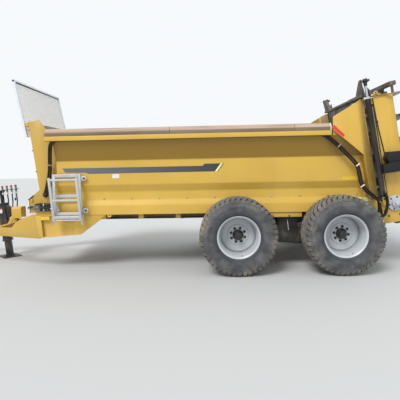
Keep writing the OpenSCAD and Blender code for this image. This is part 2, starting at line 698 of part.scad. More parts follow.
// Parking jack
jack_head_w = 1010;
module parking_jack() {
  inner_w = 98;
  socket_w = 124;
  foot = 320;
  // Gear housing on the front of the jack's head, and its crank
  gear = [75, 96, 250];
  color(black) translate([jack_x, jack_y, 0]) {
    rotate([0, -jack_lean, 0]) {
      block([-jack_w/2, -jack_w/2, 300], [jack_w/2, jack_w/2, jack_head_w]);
      block([-inner_w/2, -inner_w/2, 20], [inner_w/2, inner_w/2, 310]);
      block([-jack_w/2 - gear[0], -gear[1]/2, jack_head_w - gear[2]], [-jack_w/2 + 1, gear[1]/2, jack_head_w - 20]);
      rod_y(-jack_w/2 - gear[0]/2, jack_head_w - gear[2]/2, gear[1]/2 - 1, gear[1]/2 + 60, 14);
      block([-jack_w/2 - gear[0]/2 - 14, gear[1]/2 + 40, jack_head_w - gear[2]/2 - 200],
        [-jack_w/2 - gear[0]/2 + 14, gear[1]/2 + 52, jack_head_w - gear[2]/2 + 14]);
    }
    rotate([0, 0, 45]) translate([-foot/2, -foot/2, 0]) cube([foot, foot, 12]);
    translate([-socket_w/2, -socket_w/2, 0]) cube([socket_w, socket_w, 40]);
    block([-40, -70, drawbar_z + 30], [cross_x - jack_x - seat_gap, 70, drawbar_z + drawbar_h - 20]);
  }
}

// Ladder
ladder_y = 1050;
ladder_top_z = 1560;
hinge_y = 1078;
hinge_t = 8;
hinge_pin_r = 8;
module ladder_fixed() {
  t = ladder_tube;
  right_x = ladder_x + ladder_w;
  color(galvanized) {
    for (x = [ladder_x, right_x]) block([x - t/2, -ladder_y, 900], [x + t/2, -ladder_y + t, ladder_top_z]);
    for (z = [ladder_top_z - t, 1205, 900]) block([ladder_x - t/2, -ladder_y, z], [right_x + t/2, -ladder_y + t, z + t]);
    block([right_x, -ladder_y + 2, 1455], [right_x + 70, -belly_y - seat_gap, 1500]);
    block([right_x, -ladder_y + 2, 955], [right_x + 70, -skirt_y - seat_gap, 1000]);
    block([ladder_x - t/2, -ladder_y + 2, 1200], [ladder_x + t/2, -waist_y - seat_gap, 1232]);
    block([ladder_x - t/2, -ladder_y + 2, 940], [ladder_x + t/2, -waist_y - seat_gap, 972]);
    // Hinge plates on the outside of the rails, each with a hook below
    for (x = [ladder_x - t/2, right_x + t/2 - hinge_t]) difference() {
      union() {
        block([x, -hinge_y, fold_z - 16], [x + hinge_t, -ladder_y + t, 905]);
        translate([x, 0, 0]) rotate([90, 0, 90]) linear_extrude(hinge_t)
          polygon([[-hinge_y - 12, fold_z - 10], [-hinge_y + 20, fold_z - 10], [-hinge_y + 34, fold_z - 78], [-hinge_y + 14, fold_z - 84]]);
        rod_x(-hinge_y, fold_z, x, x + hinge_t, 18);
      }
      rod_x(-hinge_y, fold_z, x - over, x + hinge_t + over, hinge_pin_r + run_gap);
    }
  }
}
module ladder_folding() {
  t = ladder_tube - 4;
  rail_gap = ladder_w - 30;
  left = ladder_x + ladder_w/2 - rail_gap/2;
  color(galvanized) translate([0, -hinge_y, fold_z]) rotate([fold_lean, 0, 0]) {
    for (x = [left, left + rail_gap]) block([x - t/2, -t/2, -14], [x + t/2, t/2, fold_len]);
    for (w = [60, 330, fold_len - t]) block([left, -t/2, w], [left + rail_gap, t/2, w + t]);
    rod_x(0, 0, ladder_x - t/2 - hinge_t, ladder_x + ladder_w + t/2 + hinge_t, hinge_pin_r);
  }
}

// A hose through a list of points, as a tube with eight sides
function unit(v) = v/norm(v);
function tangent(p, i) = unit(p[min(i + 1, len(p) - 1)] - p[max(i - 1, 0)]);
function ring(c, t, r, n) = let (a = unit(cross(t, [0, 1, 0])), b = cross(t, a))
  [for (k = [0:n - 1]) c + r*(cos(360*k/n)*a + sin(360*k/n)*b)];
module hose(p, r) {
  n = 8;
  m = len(p);
  points = [for (i = [0:m - 1]) each ring(p[i], tangent(p, i), r, n)];
  walls = [for (i = [0:m - 2], k = [0:n - 1])
    [i*n + k, (i + 1)*n + k, (i + 1)*n + (k + 1)%n, i*n + (k + 1)%n]];
  polyhedron(points, concat(walls, [[for (k = [0:n - 1]) k]], [[for (k = [n - 1:-1:0]) (m - 1)*n + k]]));
}

// Route of the near side's gate hose from the front to the cylinder, with the roll of the second hose about it
hose_r = 15.5;
run_z = rail_z + channel_h - hose_r - 2;
run_y = rail_y - rail_lip - hose_r - 0.6;
port_y = cylinder_y + cylinder_d/2 + hose_r + seat_gap;
hose_route = [[-3800, -985, 1180, 0], [-3750, -985, 1340, 0], [-3700, -985, 1560, 0], [-3680, -1025, 1720, 0],
  [-3655, -1060, 1900, 0], [-3620, -run_y, 2010, 0], [-3595, -run_y, 2070, 0], [-3545, -run_y, run_z, 0],
  [foot_x - 925, -run_y, run_z, 0], [foot_x - 865, -run_y, 2083, 0], [foot_x - 805, -run_y, 2043, 0],
  [foot_x - 643, -1112, 1916, 0], [foot_x - 500, -1108, 1766, 0], [foot_x - 386, -1108, 1655, 0],
  [foot_x - 346, -1108, 1559, 0], [foot_x - 315, -1112, 1430, 0], [foot_x - 307, -1120, 1350, 0],
  [foot_x - 270, -1128, 1280, 0], [foot_x - 209, -1134, 1212, 0], [foot_x - 132, -1132, 1152, 30],
  [foot_x - 75, -1120, 1104, 60], [foot_x - 52, -port_y, 1020, 90], [foot_x - 47, -port_y, 920, 90],
  [foot_x - 33, -port_y, 850, 90], [foot_x + 5, -port_y, 830, 90], [foot_x + 43, -port_y, 870, 90],
  [foot_x + 68, -port_y, 960, 90], [foot_x + 73, -port_y, 1072, 90], [foot_x + 40, -port_y, 1165, 90]];
module cylinder_hoses() {
  apart = 2*hose_r + 3;
  first = [for (q = hose_route) [q[0], q[1], q[2]]];
  // The second hose hangs below the first and rolls to its outside behind the gate post
  second = [for (i = [0:len(first) - 1]) let (below = unit(cross(tangent(first, i), [0, 1, 0])), roll = hose_route[i][3])
    first[i] - apart*(cos(roll)*below + sin(roll)*[0, 1, 0])];
  color(rubber) both_sides() {
    hose(first, hose_r);
    hose(second, hose_r);
  }
}

// Couplings parked in the rack, and their hoses down to the drawbar
rack_count = 4;
rack_pitch = 85;
rack_first = 0;
module hose_rack() {
  base_w = jack_head_w + seat_gap;
  rack_w = base_w + 230;
  plate_t = 10;
  coupling_r = 16;
  color(black) translate([jack_x, jack_y, 0]) rotate([0, -jack_lean, 0]) {
    block([-20, -20, base_w], [20, 20, rack_w]);
    block([-60, -40, rack_w], [rack_first + rack_count*rack_pitch, 40, rack_w + plate_t]);
    for (i = [0:rack_count - 1]) translate([rack_first + 40 + i*rack_pitch, 0, rack_w - 40]) {
      cylinder(h = 110, r = coupling_r);
      translate([0, 0, 110]) sphere(r = 1.2*coupling_r);
    }
  }
  // The hoses hang forward from the couplings in pairs and end in the drawbar
  color(rubber) for (i = [0:rack_count - 1]) {
    x = jack_x + rack_first + 40 + i*rack_pitch - (rack_w - 45)*sin(jack_lean);
    top = (rack_w - 45)*cos(jack_lean);
    end_x = cross_x + 12 + 24*i;
    y = jack_y + jack_w/2 + 20;
    end_z = drawbar_z + drawbar_h - 10 + seat_gap;
    hose([[x, jack_y, top], [x - 5, jack_y + 8, top - 50], [x - 15, jack_y + 50, top - 115], [x - 22, y + 6, top - 175],
      [x - 30, y + 12, top - 300], [(x + end_x)/2 - 20, y + 14, top - 400], [end_x - 6, y + 8, end_z + 90],
      [end_x, y, end_z + 40], [end_x, y, end_z]], 11);
  }
}

lamp_u = [150, 430];
lamp_w = [500, 800];
lamp_depth = 180;
module rear_lamps() {
  lens_r = 55;
  color(black) both_sides() leaning() {
    block([lamp_u[0], -wing_y - lamp_depth, lamp_w[0]], [lamp_u[1], -wing_y - seat_gap, lamp_w[1]]);
    for (w = [lamp_w[0] + 80, lamp_w[1] - 80])
      translate([lamp_u[1] - 1, -wing_y - lamp_depth/2, w]) rotate([0, 90, 0]) cylinder(h = 26, r = lens_r);
  }
}

// Moving pieces
gate_low_w = 140;
lug_front_u = -30;
module gate() {
  head_w = gate_top_w;
  color(grey) leaning() difference() {
    union() {
      block([0, -gate_y, gate_low_w], [gate_t, gate_y, head_w]);
      for (w = [gate_low_w, 600, 1100, head_w - 60]) block([gate_t, -870, w], [gate_t + 40, 870, w + 60]);
      // Bar along the gate's top, wider at its ends for the cylinders
      block([lug_front_u, -1095, head_w], [-lug_front_u, 1095, head_w + 40]);
      both_sides() {
        block([lug_front_u, -1095, head_w], [90, -880, head_w + 40]);
        for (y = [-cylinder_y - 45, -cylinder_y + 30])
          translate([0, y + 15, 0]) rotate([90, 0, 0]) linear_extrude(15)
            polygon([[lug_front_u, head_w + 40], [90, head_w + 40], [92, pin_top_w + 30], [30, pin_top_w + 35],
              [-10, pin_top_w + 10]]);
      }
    }
    both_sides() {
      rod_y(cylinder_u, pin_top_w, -cylinder_y - 60, -cylinder_y + 60, pin_r + run_gap);
      translate([cylinder_u, -cylinder_y, head_w - over]) cylinder(h = 100, r = rod_d/2 + 5);
    }
  }
}
module gate_rods() {
  color(silver) both_sides() leaning() {
    translate([cylinder_u, -cylinder_y, pin_low_w + 120]) cylinder(h = pin_top_w - pin_low_w - 130, r = rod_d/2);
    rod_y(cylinder_u, pin_top_w, -cylinder_y - 24, -cylinder_y + 24, 34);
    rod_y(cylinder_u, pin_top_w, -cylinder_y - 52, -cylinder_y + 52, pin_r);
  }
}

beater_low_w = 130;
beater_top_w = beam_low_w - 40;
flight_turns = 4;
flight_r = 300;
// A flight's edge stands clear of the round core between its slices
flight_core_r = core_r/cos(12) + seat_gap;
module beater(y, hand) {
  disc_t = 12;
  knife = [beater_r - flight_r + 55, 60, 12];
  low = beater_low_w + disc_t + seat_gap;
  span = beater_top_w - 30 - low;
  // Half the angle that a flight takes up at one height
  half = 6;
  rise = atan(span/flight_turns/(2*PI*(flight_r - knife[0]/4)));
  count = 4*flight_turns;
  color(grey) leaning() translate([beater_u, y, 0]) {
    translate([0, 0, beater_low_w]) cylinder(h = beater_top_w - beater_low_w, r = core_r);
    translate([0, 0, beater_low_w]) cylinder(h = disc_t, r = flight_r);
    translate([0, 0, gear_w + 30]) cylinder(h = beam_low_w + 50 - gear_w - 30, r = core_r/3);
    translate([0, 0, low]) linear_extrude(span, twist = -hand*360*flight_turns, slices = 30*flight_turns, $fn = 5)
      polygon([[flight_core_r*cos(half), -flight_core_r*sin(half)], [flight_r*cos(half), -flight_r*sin(half)],
        [flight_r, 0], [flight_r*cos(half), flight_r*sin(half)], [flight_core_r*cos(half), flight_core_r*sin(half)]]);
    // Knives bolted on the rim, tilted with the flight
    for (i = [1:count - 1]) rotate([0, 0, hand*360*flight_turns*i/count])
      translate([flight_r - 55, 0, low + span*i/count]) rotate([hand*rise, 0, 0])
        translate([0, -knife[1]/2, span/flight_turns*half/360 + 2]) cube(knife);
  }
}
module beater_left() { beater(-beater_y, 1); }
module beater_right() { beater(beater_y, -1); }

stub_front_x = -4330;
stub_r = 17.46;
shaft_r = 35;
module driveline() {
  color(black) {
    rod_x(0, drive_z, stub_front_x, stub_front_x + 120, stub_r);
    rod_x(0, drive_z, stub_front_x + 120, gear_x - gear_half - 10, shaft_r);
    rod_x(0, drive_z, gear_x - gear_half - 10, gear_x - 50, 25);
  }
}

// Height and thickness of a rim's flange
flange_h = 26;
flange_t = 12;
// Tyre section: radius, distance from the middle plane
lug_h = 22;
lug_count = 24;
// Share of the pitch that a lug takes up
lug_share = 0.6;
// Half width of the groove round the middle of the tread
groove_y = 8;
module tyre() {
  r = tyre_d/2;
  crown_r = r - lug_h;
  bead_r = rim_d/2 - flange_h + seat_gap;
  bead_y = rim_w/2 - flange_t - seat_gap;
  shoulder_y = tyre_w/2 - 42;
  pitch = 360/lug_count;
  function at(radius, a) = [radius*cos(a), radius*sin(a)];
  function teeth(start) = [for (i = [0:lug_count - 1]) let (a = start + i*pitch)
    each [at(crown_r - 5, a), at(r, a), at(r, a + lug_share*pitch), at(crown_r - 5, a + lug_share*pitch)]];
  color(rubber) rotate([90, 0, 0]) {
    rotate_extrude($fn = 96)
      polygon([[bead_r, -bead_y], [rim_d/2 + seat_gap, -bead_y], [rim_d/2 + 6, -rim_w/2 - 4],
        [rim_d/2 + 60, -tyre_w/2 + 6], [r - 140, -tyre_w/2], [r - 60, -tyre_w/2 + 18], [crown_r, -shoulder_y],
        [crown_r, shoulder_y], [r - 60, tyre_w/2 - 18], [r - 140, tyre_w/2], [rim_d/2 + 60, tyre_w/2 - 6],
        [rim_d/2 + 6, rim_w/2 + 4], [rim_d/2 + seat_gap, bead_y], [bead_r, bead_y]]);
    // A ring of lugs on either side of the groove, half a pitch apart
    translate([0, 0, groove_y]) linear_extrude(shoulder_y) difference() {
      polygon(teeth(0));
      circle(r - 100);
    }
    translate([0, 0, -groove_y - shoulder_y]) linear_extrude(shoulder_y) difference() {
      polygon(teeth(pitch/2));
      circle(r - 100);
    }
  }
}
module wheel() {
  flange_r = rim_d/2;
  seat_r = flange_r - flange_h;
  disc_y = dish - rim_w/2;
  color(silver) difference() {
    rotate([90, 0, 0]) rotate_extrude($fn = 96)
      polygon([[seat_r - 10, -rim_w/2], [flange_r, -rim_w/2], [flange_r, -rim_w/2 + flange_t],
        [seat_r, -rim_w/2 + flange_t], [seat_r, rim_w/2 - flange_t], [flange_r, rim_w/2 - flange_t],
        [flange_r, rim_w/2], [seat_r - 10, rim_w/2],
        [seat_r - 10, -disc_y + 7], [82, -disc_y + 7], [82, -disc_y + 90], [0, -disc_y + 90], [0, -disc_y - 130], [62, -disc_y - 130],
        [62, -disc_y - 7], [seat_r - 10, -disc_y - 7]]);
    rod_y(0, 0, bore_end_y, disc_y + 200, axle_r + run_gap);
  }
}
// The wheel's dish faces outwards on either side
module wheel_at(x, side) { translate([bogie_x + x, side*tyre_y, axle_z]) rotate([0, 0, side < 0 ? 0 : 180]) wheel(); }
module tyre_at(x, side) { translate([bogie_x + x, side*tyre_y, axle_z]) tyre(); }
module tyre_front_left() { tyre_at(-axle_gap/2, -1); }
module tyre_front_right() { tyre_at(-axle_gap/2, 1); }
module tyre_rear_left() { tyre_at(axle_gap/2, -1); }
module tyre_rear_right() { tyre_at(axle_gap/2, 1); }
module wheel_front_left() { wheel_at(-axle_gap/2, -1); }
module wheel_front_right() { wheel_at(-axle_gap/2, 1); }
module wheel_rear_left() { wheel_at(axle_gap/2, -1); }
module wheel_rear_right() { wheel_at(axle_gap/2, 1); }

placed() frame_rails();
placed() cross_bars();
placed() front_side_frames();
placed() drawbar_beams();
placed() drawbar_crossmember();
placed() hitch();
placed() side_panel_left();
placed() side_panel_right();
placed() front_wall();
placed() front_corner_plates();
placed() front_screen();
placed() floor();
placed() floor_sills();
placed() apron();
placed() idler_shaft();
placed() apron_drive();
placed() top_rails();
placed() timber_rails();
placed() rear_side_panels();
placed() gate_posts();
placed() wing_left();
placed() wing_right();
placed() top_beam();
placed() beater_deck();
placed() beater_gearboxes();
placed() gate_cylinders();
placed() walking_beams();
placed() bogie_pivots();
placed() parking_jack();
placed() ladder_fixed();
placed() cylinder_hoses();
placed() hose_rack();
placed() rear_lamps();
placed() gate();
placed() gate_rods();
placed() beater_left();
placed() beater_right();
placed() driveline();
placed() tyre_front_left();
placed() tyre_front_right();
placed() tyre_rear_left();
placed() tyre_rear_right();
placed() wheel_front_left();
placed() wheel_front_right();
placed() wheel_rear_left();
placed() wheel_rear_right();
placed() ladder_folding();
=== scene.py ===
import json
import math
import random

import bpy
from mathutils import Matrix, Vector


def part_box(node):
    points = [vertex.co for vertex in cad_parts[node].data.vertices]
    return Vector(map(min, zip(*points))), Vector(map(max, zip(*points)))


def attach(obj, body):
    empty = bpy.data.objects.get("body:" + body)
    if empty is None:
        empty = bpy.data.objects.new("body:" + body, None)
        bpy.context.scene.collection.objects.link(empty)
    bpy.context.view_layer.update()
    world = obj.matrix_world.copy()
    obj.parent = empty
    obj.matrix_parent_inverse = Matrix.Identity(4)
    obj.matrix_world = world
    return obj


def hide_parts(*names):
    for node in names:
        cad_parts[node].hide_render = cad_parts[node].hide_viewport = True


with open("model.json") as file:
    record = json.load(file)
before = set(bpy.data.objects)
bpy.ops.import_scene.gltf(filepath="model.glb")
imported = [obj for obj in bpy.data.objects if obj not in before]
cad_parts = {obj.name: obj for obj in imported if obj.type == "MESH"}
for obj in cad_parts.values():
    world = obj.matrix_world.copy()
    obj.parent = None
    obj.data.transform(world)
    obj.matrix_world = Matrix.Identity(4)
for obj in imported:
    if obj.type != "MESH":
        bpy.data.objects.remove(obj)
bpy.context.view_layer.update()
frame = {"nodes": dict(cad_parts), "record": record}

random.seed(11)
print("frame loaded:", len(frame["nodes"]), "nodes")

# Places that everything else is measured from, in metres
pivotX = (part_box("tyre_front_left")[0].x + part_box("tyre_rear_left")[1].x) / 2
gateFoot = Vector((pivotX + 1.405, 0, 1.0))
gateLean = math.radians(10)
bodyOf = {node: body for body, nodes in frame["record"]["behaviour"]["bodies"].items() for node in nodes}


def spot(x, y, z):  # x counts from the bogie pivot
    return Vector((pivotX + x, y, z))


def onSlope(back, across, up):  # a place in the leaning rear frame
    return gateFoot + Vector((back * math.cos(gateLean) - up * math.sin(gateLean), across,
                              back * math.sin(gateLean) + up * math.cos(gateLean)))


# Camera at the photograph's place: yaw, pitch and roll in degrees, lens in millimetres
cameraLook = {"place": (pivotX - 1.1007, -7.3821, 1.7028), "yaw": -2.239, "pitch": -5.309,
              "roll": -1.139, "lens": 36.98}


def placeCamera(look):
    yaw, pitch, roll = (math.radians(look[key]) for key in ("yaw", "pitch", "roll"))
    ahead = Vector((math.sin(yaw) * math.cos(pitch), math.cos(yaw) * math.cos(pitch), math.sin(pitch)))
    side = Vector((math.cos(yaw), -math.sin(yaw), 0))
    up = side.cross(ahead)
    right = math.cos(roll) * side + math.sin(roll) * up
    top = math.cos(roll) * up - math.sin(roll) * side
    data = bpy.data.cameras.new("photoCamera")
    data.lens = look["lens"]
    camera = bpy.data.objects.new("photoCamera", data)
    bpy.context.scene.collection.objects.link(camera)
    turn = Matrix((right, top, -ahead)).transposed().to_4x4()
    camera.matrix_world = Matrix.Translation(look["place"]) @ turn
    bpy.context.scene.camera = camera


placeCamera(cameraLook)
bpy.context.scene.view_settings.view_transform = "Standard"

stageLook = {"floorSize": 90, "floorColour": (0.56, 0.56, 0.55), "background": (0.93, 0.95, 0.97),
             "skyColour": (0.9, 0.95, 1.0), "sky": 0.8, "sun": 2.1, "sunSpread": 24, "sunHeight": 48,
             "sunFrom": -28, "fill": 0.5, "fillSpread": 60, "fillHeight": 35, "fillFrom": 160}


def lightStage(look):
    bpy.ops.mesh.primitive_plane_add(size=look["floorSize"])
    floor = bpy.context.object
    floor.name = "floor_plane"
    mat = bpy.data.materials.new("paleFloor")
    mat.use_nodes = True
    shader = mat.node_tree.nodes["Principled BSDF"]
    shader.inputs["Base Color"].default_value = (*look["floorColour"], 1)
    shader.inputs["Roughness"].default_value = 0.85
    floor.data.materials.append(mat)
    world = bpy.data.worlds.new("studio")
    bpy.context.scene.world = world
    world.use_nodes = True
    nodes, links = world.node_tree.nodes, world.node_tree.links
    light = nodes["Background"]
    light.inputs["Color"].default_value = (*look["skyColour"], 1)
    light.inputs["Strength"].default_value = look["sky"]
    seen = nodes.new("ShaderNodeBackground")
    seen.inputs["Color"].default_value = (*look["background"], 1)
    seen.inputs["Strength"].default_value = 1
    path = nodes.new("ShaderNodeLightPath")
    swap = nodes.new("ShaderNodeMixShader")
    links.new(path.outputs["Is Camera Ray"], swap.inputs["Fac"])
    links.new(light.outputs[0], swap.inputs[1])
    links.new(seen.outputs[0], swap.inputs[2])
    links.new(swap.outputs[0], nodes["World Output"].inputs["Surface"])
    for name, energy, fromAngle, height, spread in (
            ("sun", look["sun"], look["sunFrom"], look["sunHeight"], look["sunSpread"]),
            ("backFill", look["fill"], look["fillFrom"], look["fillHeight"], look["fillSpread"])):
        data = bpy.data.lights.new(name, "SUN")
        data.energy = energy
        data.angle = math.radians(spread)
        lamp = bpy.data.objects.new(name, data)
        bpy.context.scene.collection.objects.link(lamp)
        lamp.rotation_euler = (math.radians(90 - height), 0, math.radians(fromAngle))


lightStage(stageLook)
print("camera, floor and lights in place")


# Shader helpers: each returns the socket that the next one reads
def makeMaterial(name, roughness=0.5, metallic=0.0, coat=0.0, coatRoughness=0.25):
    mat = bpy.data.materials.new(name)
    mat.use_nodes = True
    shader = mat.node_tree.nodes["Principled BSDF"]
    shader.inputs["Roughness"].default_value = roughness
    shader.inputs["Metallic"].default_value = metallic
    shader.inputs["Coat Weight"].default_value = coat
    shader.inputs["Coat Roughness"].default_value = coatRoughness
    return mat


def plug(mat, value, target):  # a number or colour is typed in, a socket is linked
    if isinstance(value, (int, float)):
        target.default_value = value
    elif isinstance(value, tuple):
        target.default_value = value if len(value) == 4 or len(target.default_value) == 3 else (*value, 1)
    else:
        mat.node_tree.links.new(value, target)


def nodeOf(mat, kind, inputs, output, **settings):  # a new node with its inputs plugged in
    node = mat.node_tree.nodes.new("ShaderNode" + kind)
    for key, value in settings.items():
        setattr(node, key, value)
    for key, value in inputs.items():
        plug(mat, value, node.inputs[key])
    return node.outputs[output]


def coordsOf(mat, stretch=(1, 1, 1), centre=(0, 0, 0)):
    inputs = {"Vector": nodeOf(mat, "TexCoord", {}, "Object"), "Location": centre, "Scale": stretch}
    return nodeOf(mat, "Mapping", inputs, "Vector", vector_type="TEXTURE")


def noiseOf(mat, scale, detail=4, stretch=(1, 1, 1), roughness=0.55):
    inputs = {"Vector": coordsOf(mat, stretch), "Scale": scale, "Detail": detail, "Roughness": roughness}
    return nodeOf(mat, "TexNoise", inputs, "Fac")


def cellsOf(mat, scale, stretch=(1, 1, 1), output="Distance"):
    return nodeOf(mat, "TexVoronoi", {"Vector": coordsOf(mat, stretch), "Scale": scale}, output)


def ranged(mat, value, low, high, toLow=0.0, toHigh=1.0):
    inputs = {"Value": value, "From Min": low, "From Max": high, "To Min": toLow, "To Max": toHigh}
    return nodeOf(mat, "MapRange", inputs, "Result")


def maths(mat, kind, first, second=0.0):
    return nodeOf(mat, "Math", {0: first, 1: second}, "Value", operation=kind)


def mixed(mat, share, first, second):
    return nodeOf(mat, "Mix", {"Factor": share, "A": first, "B": second}, "Result", data_type="RGBA")


def partOf(mat, source, axis):
    return nodeOf(mat, "SeparateXYZ", {"Vector": source}, axis)


def normalOf(mat):
    return nodeOf(mat, "NewGeometry", {}, "Normal")


def finish(mat, colour, roughness=None, height=None, strength=0.2, distance=0.002):
    shader = mat.node_tree.nodes["Principled BSDF"]
    plug(mat, colour, shader.inputs["Base Color"])
    if roughness is not None:
        plug(mat, roughness, shader.inputs["Roughness"])
    if height is not None:
        inputs = {"Strength": strength, "Distance": distance, "Height": height}
        plug(mat, nodeOf(mat, "Bump", inputs, "Normal"), shader.inputs["Normal"])
    return mat


# Paint with dust, drips, chips and painted shade on faces that look down or back; inside says which faces are
# scraped by the load
def paintMaterial(name, look, inside=None):
    mat = makeMaterial(name, coat=look["coat"], coatRoughness=0.3)
    colour = mixed(mat, ranged(mat, noiseOf(mat, 1.1, 3), 0.35, 0.7), look["colour"], look["shade"])
    drips = ranged(mat, noiseOf(mat, 5, 4, (1, 1, 5)), 0.55, 0.75, 0, look["drips"])
    colour = mixed(mat, drips, colour, look["dirt"])
    height = partOf(mat, coordsOf(mat), "Z")
    low = ranged(mat, height, look["dustTop"], 0.3, 0, 1)
    dust = maths(mat, "MULTIPLY", ranged(mat, noiseOf(mat, 3.5, 6), 0.4, 0.66, 0.05, 1), maths(
        mat, "ADD", look["dust"], maths(mat, "MULTIPLY", low, look["lowDust"])))
    colour = mixed(mat, dust, colour, look["dustColour"])
    chips = ranged(mat, noiseOf(mat, 38, 5, roughness=0.7), look["chips"], look["chips"] + 0.03)
    colour = mixed(mat, chips, colour, look["chipColour"])
    # Painted shade: faces that look down, most of all under the box's overhang, and faces that look back are
    # mixed towards a darker colour
    down = ranged(mat, partOf(mat, normalOf(mat), "Z"), -0.12, -0.32)
    under = maths(mat, "MULTIPLY", down,
                  ranged(mat, height, *look["overhang"], look["shadeBelowOverhang"], look["shadeAboveOverhang"]))
    back = ranged(mat, partOf(mat, normalOf(mat), "X"), 0.25, 0.85, 0, look["backShadeShare"])
    colour = mixed(mat, maths(mat, "MAXIMUM", under, back), colour, look["paintedShadeColour"])
    roughness = ranged(mat, noiseOf(mat, 6, 4), 0.3, 0.7, look["gloss"] - 0.08, look["gloss"] + 0.12)
    if inside:
        across = partOf(mat, coordsOf(mat), inside)
        facing = partOf(mat, normalOf(mat), inside)
        inner = maths(mat, "LESS_THAN", maths(mat, "MULTIPLY", across, facing), -0.12)
        top = ranged(mat, height, 2.25, 1.95, 0.8, 1)
        scraped = maths(mat, "MULTIPLY", inner, maths(
            mat, "MULTIPLY", top, ranged(mat, noiseOf(mat, 2.2, 8, (3, 1, 1)), 0.36, 0.52, 0.66, 1)))
        worn = mixed(mat, noiseOf(mat, 14, 6, (6, 1, 1)), look["wornDark"], look["wornLight"])
        colour = mixed(mat, scraped, colour, worn)
        roughness = maths(mat, "ADD", roughness, maths(mat, "MULTIPLY", scraped, 0.3))
    fine = maths(mat, "ADD", noiseOf(mat, 3, 2), maths(mat, "MULTIPLY", noiseOf(mat, 260, 2), 0.03))
    return finish(mat, colour, roughness, fine, 0.12, 0.004)


# Between the two heights of the overhang the painted shade under the box sides goes from low to high
paintLook = {"overhang": (1.735, 1.752), "shadeBelowOverhang": 0.3, "shadeAboveOverhang": 0.3, "backShadeShare": 0.0}
yellowLook = {**paintLook, "colour": (0.71, 0.445, 0.062), "shade": (0.64, 0.39, 0.05),
              "dirt": (0.4, 0.24, 0.06), "paintedShadeColour": (0.265, 0.143, 0.002), "shadeBelowOverhang": 0.08,
              "shadeAboveOverhang": 0.9, "backShadeShare": 0.62, "drips": 0.1, "dust": 0.05, "lowDust": 0.22,
              "dustTop": 1.0, "dustColour": (0.52, 0.42, 0.27), "chips": 0.7,
              "chipColour": (0.16, 0.08, 0.03), "gloss": 0.4, "coat": 0.25, "wornDark": (0.1, 0.075, 0.05),
              "wornLight": (0.3, 0.25, 0.19)}
blackLook = {**paintLook, "colour": (0.018, 0.018, 0.02), "shade": (0.028, 0.027, 0.027),
             "dirt": (0.05, 0.045, 0.04), "paintedShadeColour": (0.02, 0.018, 0.016), "drips": 0.3, "dust": 0.14,
             "lowDust": 0.3, "dustTop": 1.3, "dustColour": (0.19, 0.16, 0.125), "chips": 0.69,
             "chipColour": (0.2, 0.12, 0.07), "gloss": 0.45, "coat": 0.15}
silverLook = {**paintLook, "colour": (0.56, 0.58, 0.6), "shade": (0.5, 0.52, 0.55), "dirt": (0.3, 0.3, 0.29),
              "paintedShadeColour": (0.2, 0.19, 0.17), "drips": 0.12, "dust": 0.05, "lowDust": 0.14, "dustTop": 0.9,
              "dustColour": (0.42, 0.4, 0.36), "chips": 0.71, "chipColour": (0.25, 0.16, 0.1), "gloss": 0.38,
              "coat": 0.3}
yellowPaint = paintMaterial("yellowPaint", yellowLook)
boxPaint = paintMaterial("boxPaint", yellowLook, inside="Y")
frontPaint = paintMaterial("frontWallPaint", yellowLook, inside="X")
# The plates and beams ahead of the box get a darker copy of the yellow, as painted shade for their less lit
# faces
tongueShadedPaint = paintMaterial("tongueShadedPaint", {**yellowLook, "colour": (0.585, 0.36, 0.045),
                                            "shade": (0.5, 0.305, 0.036), "dust": 0.08})
# The low frame's near-black yellow is partly caked dirt and partly painted shade under the box
grimeAndShadePaint = paintMaterial("grimeAndShadePaint", {**yellowLook, "colour": (0.17, 0.115, 0.045),
                                          "shade": (0.1, 0.07, 0.032), "dust": 0.3})
blackPaint = paintMaterial("blackPaint", blackLook)
silverPaint = paintMaterial("silverPaint", silverLook)


def wornSteel(name, dark, light, rust, rustShare):
    mat = makeMaterial(name, metallic=0.55)
    colour = mixed(mat, ranged(mat, noiseOf(mat, 9, 8, (1, 1, 2.5)), 0.3, 0.7), dark, light)
    colour = mixed(mat, ranged(mat, noiseOf(mat, 4, 9, roughness=0.7), 0.5, 0.62, 0, rustShare), colour, rust)
    roughness = ranged(mat, noiseOf(mat, 12, 5), 0.3, 0.7, 0.42, 0.75)
    return finish(mat, colour, roughness, noiseOf(mat, 90, 6), 0.25, 0.002)


dirtySteel = wornSteel("dirtySteel", (0.09, 0.08, 0.07), (0.26, 0.23, 0.2), (0.13, 0.07, 0.035), 0.7)
shaftSteel = wornSteel("shaftSteel", (0.16, 0.15, 0.14), (0.36, 0.33, 0.3), (0.16, 0.085, 0.04), 0.8)
chromeSteel = finish(makeMaterial("chromeRod", 0.12, 1.0), (0.72, 0.73, 0.75))


def galvanizedMaterial():
    mat = makeMaterial("galvanizedSteel", metallic=0.35)
    spangle = cellsOf(mat, 55, output="Color")
    tint = ranged(mat, partOf(mat, spangle, "X"), 0, 1, 0, 0.35)
    colour = mixed(mat, tint, (0.62, 0.635, 0.635), (0.48, 0.5, 0.51))
    stain = ranged(mat, noiseOf(mat, 6, 6, (1, 1, 3)), 0.52, 0.72, 0, 0.45)
    colour = mixed(mat, stain, colour, (0.34, 0.32, 0.29))
    roughness = ranged(mat, noiseOf(mat, 20, 4), 0.3, 0.7, 0.34, 0.58)
    return finish(mat, colour, roughness, noiseOf(mat, 120, 3), 0.1, 0.001)


def plainMaterial(name, colour, roughness=0.5, metallic=0.0, coat=0.0, spread=0.85):
    mat = makeMaterial(name, roughness, metallic, coat)
    darker = tuple(part * spread for part in colour)
    mixedColour = mixed(mat, ranged(mat, noiseOf(mat, 25, 5), 0.35, 0.7), colour, darker)
    return finish(mat, mixedColour,
                  ranged(mat, noiseOf(mat, 40, 3), 0.3, 0.7, roughness - 0.06, roughness + 0.08),
                  noiseOf(mat, 300, 2), 0.05, 0.0006)


stripeLook = {"from": -3.5, "to": -1.1, "front": (0.15, 0.155, 0.17), "rear": (0.038, 0.039, 0.042)}


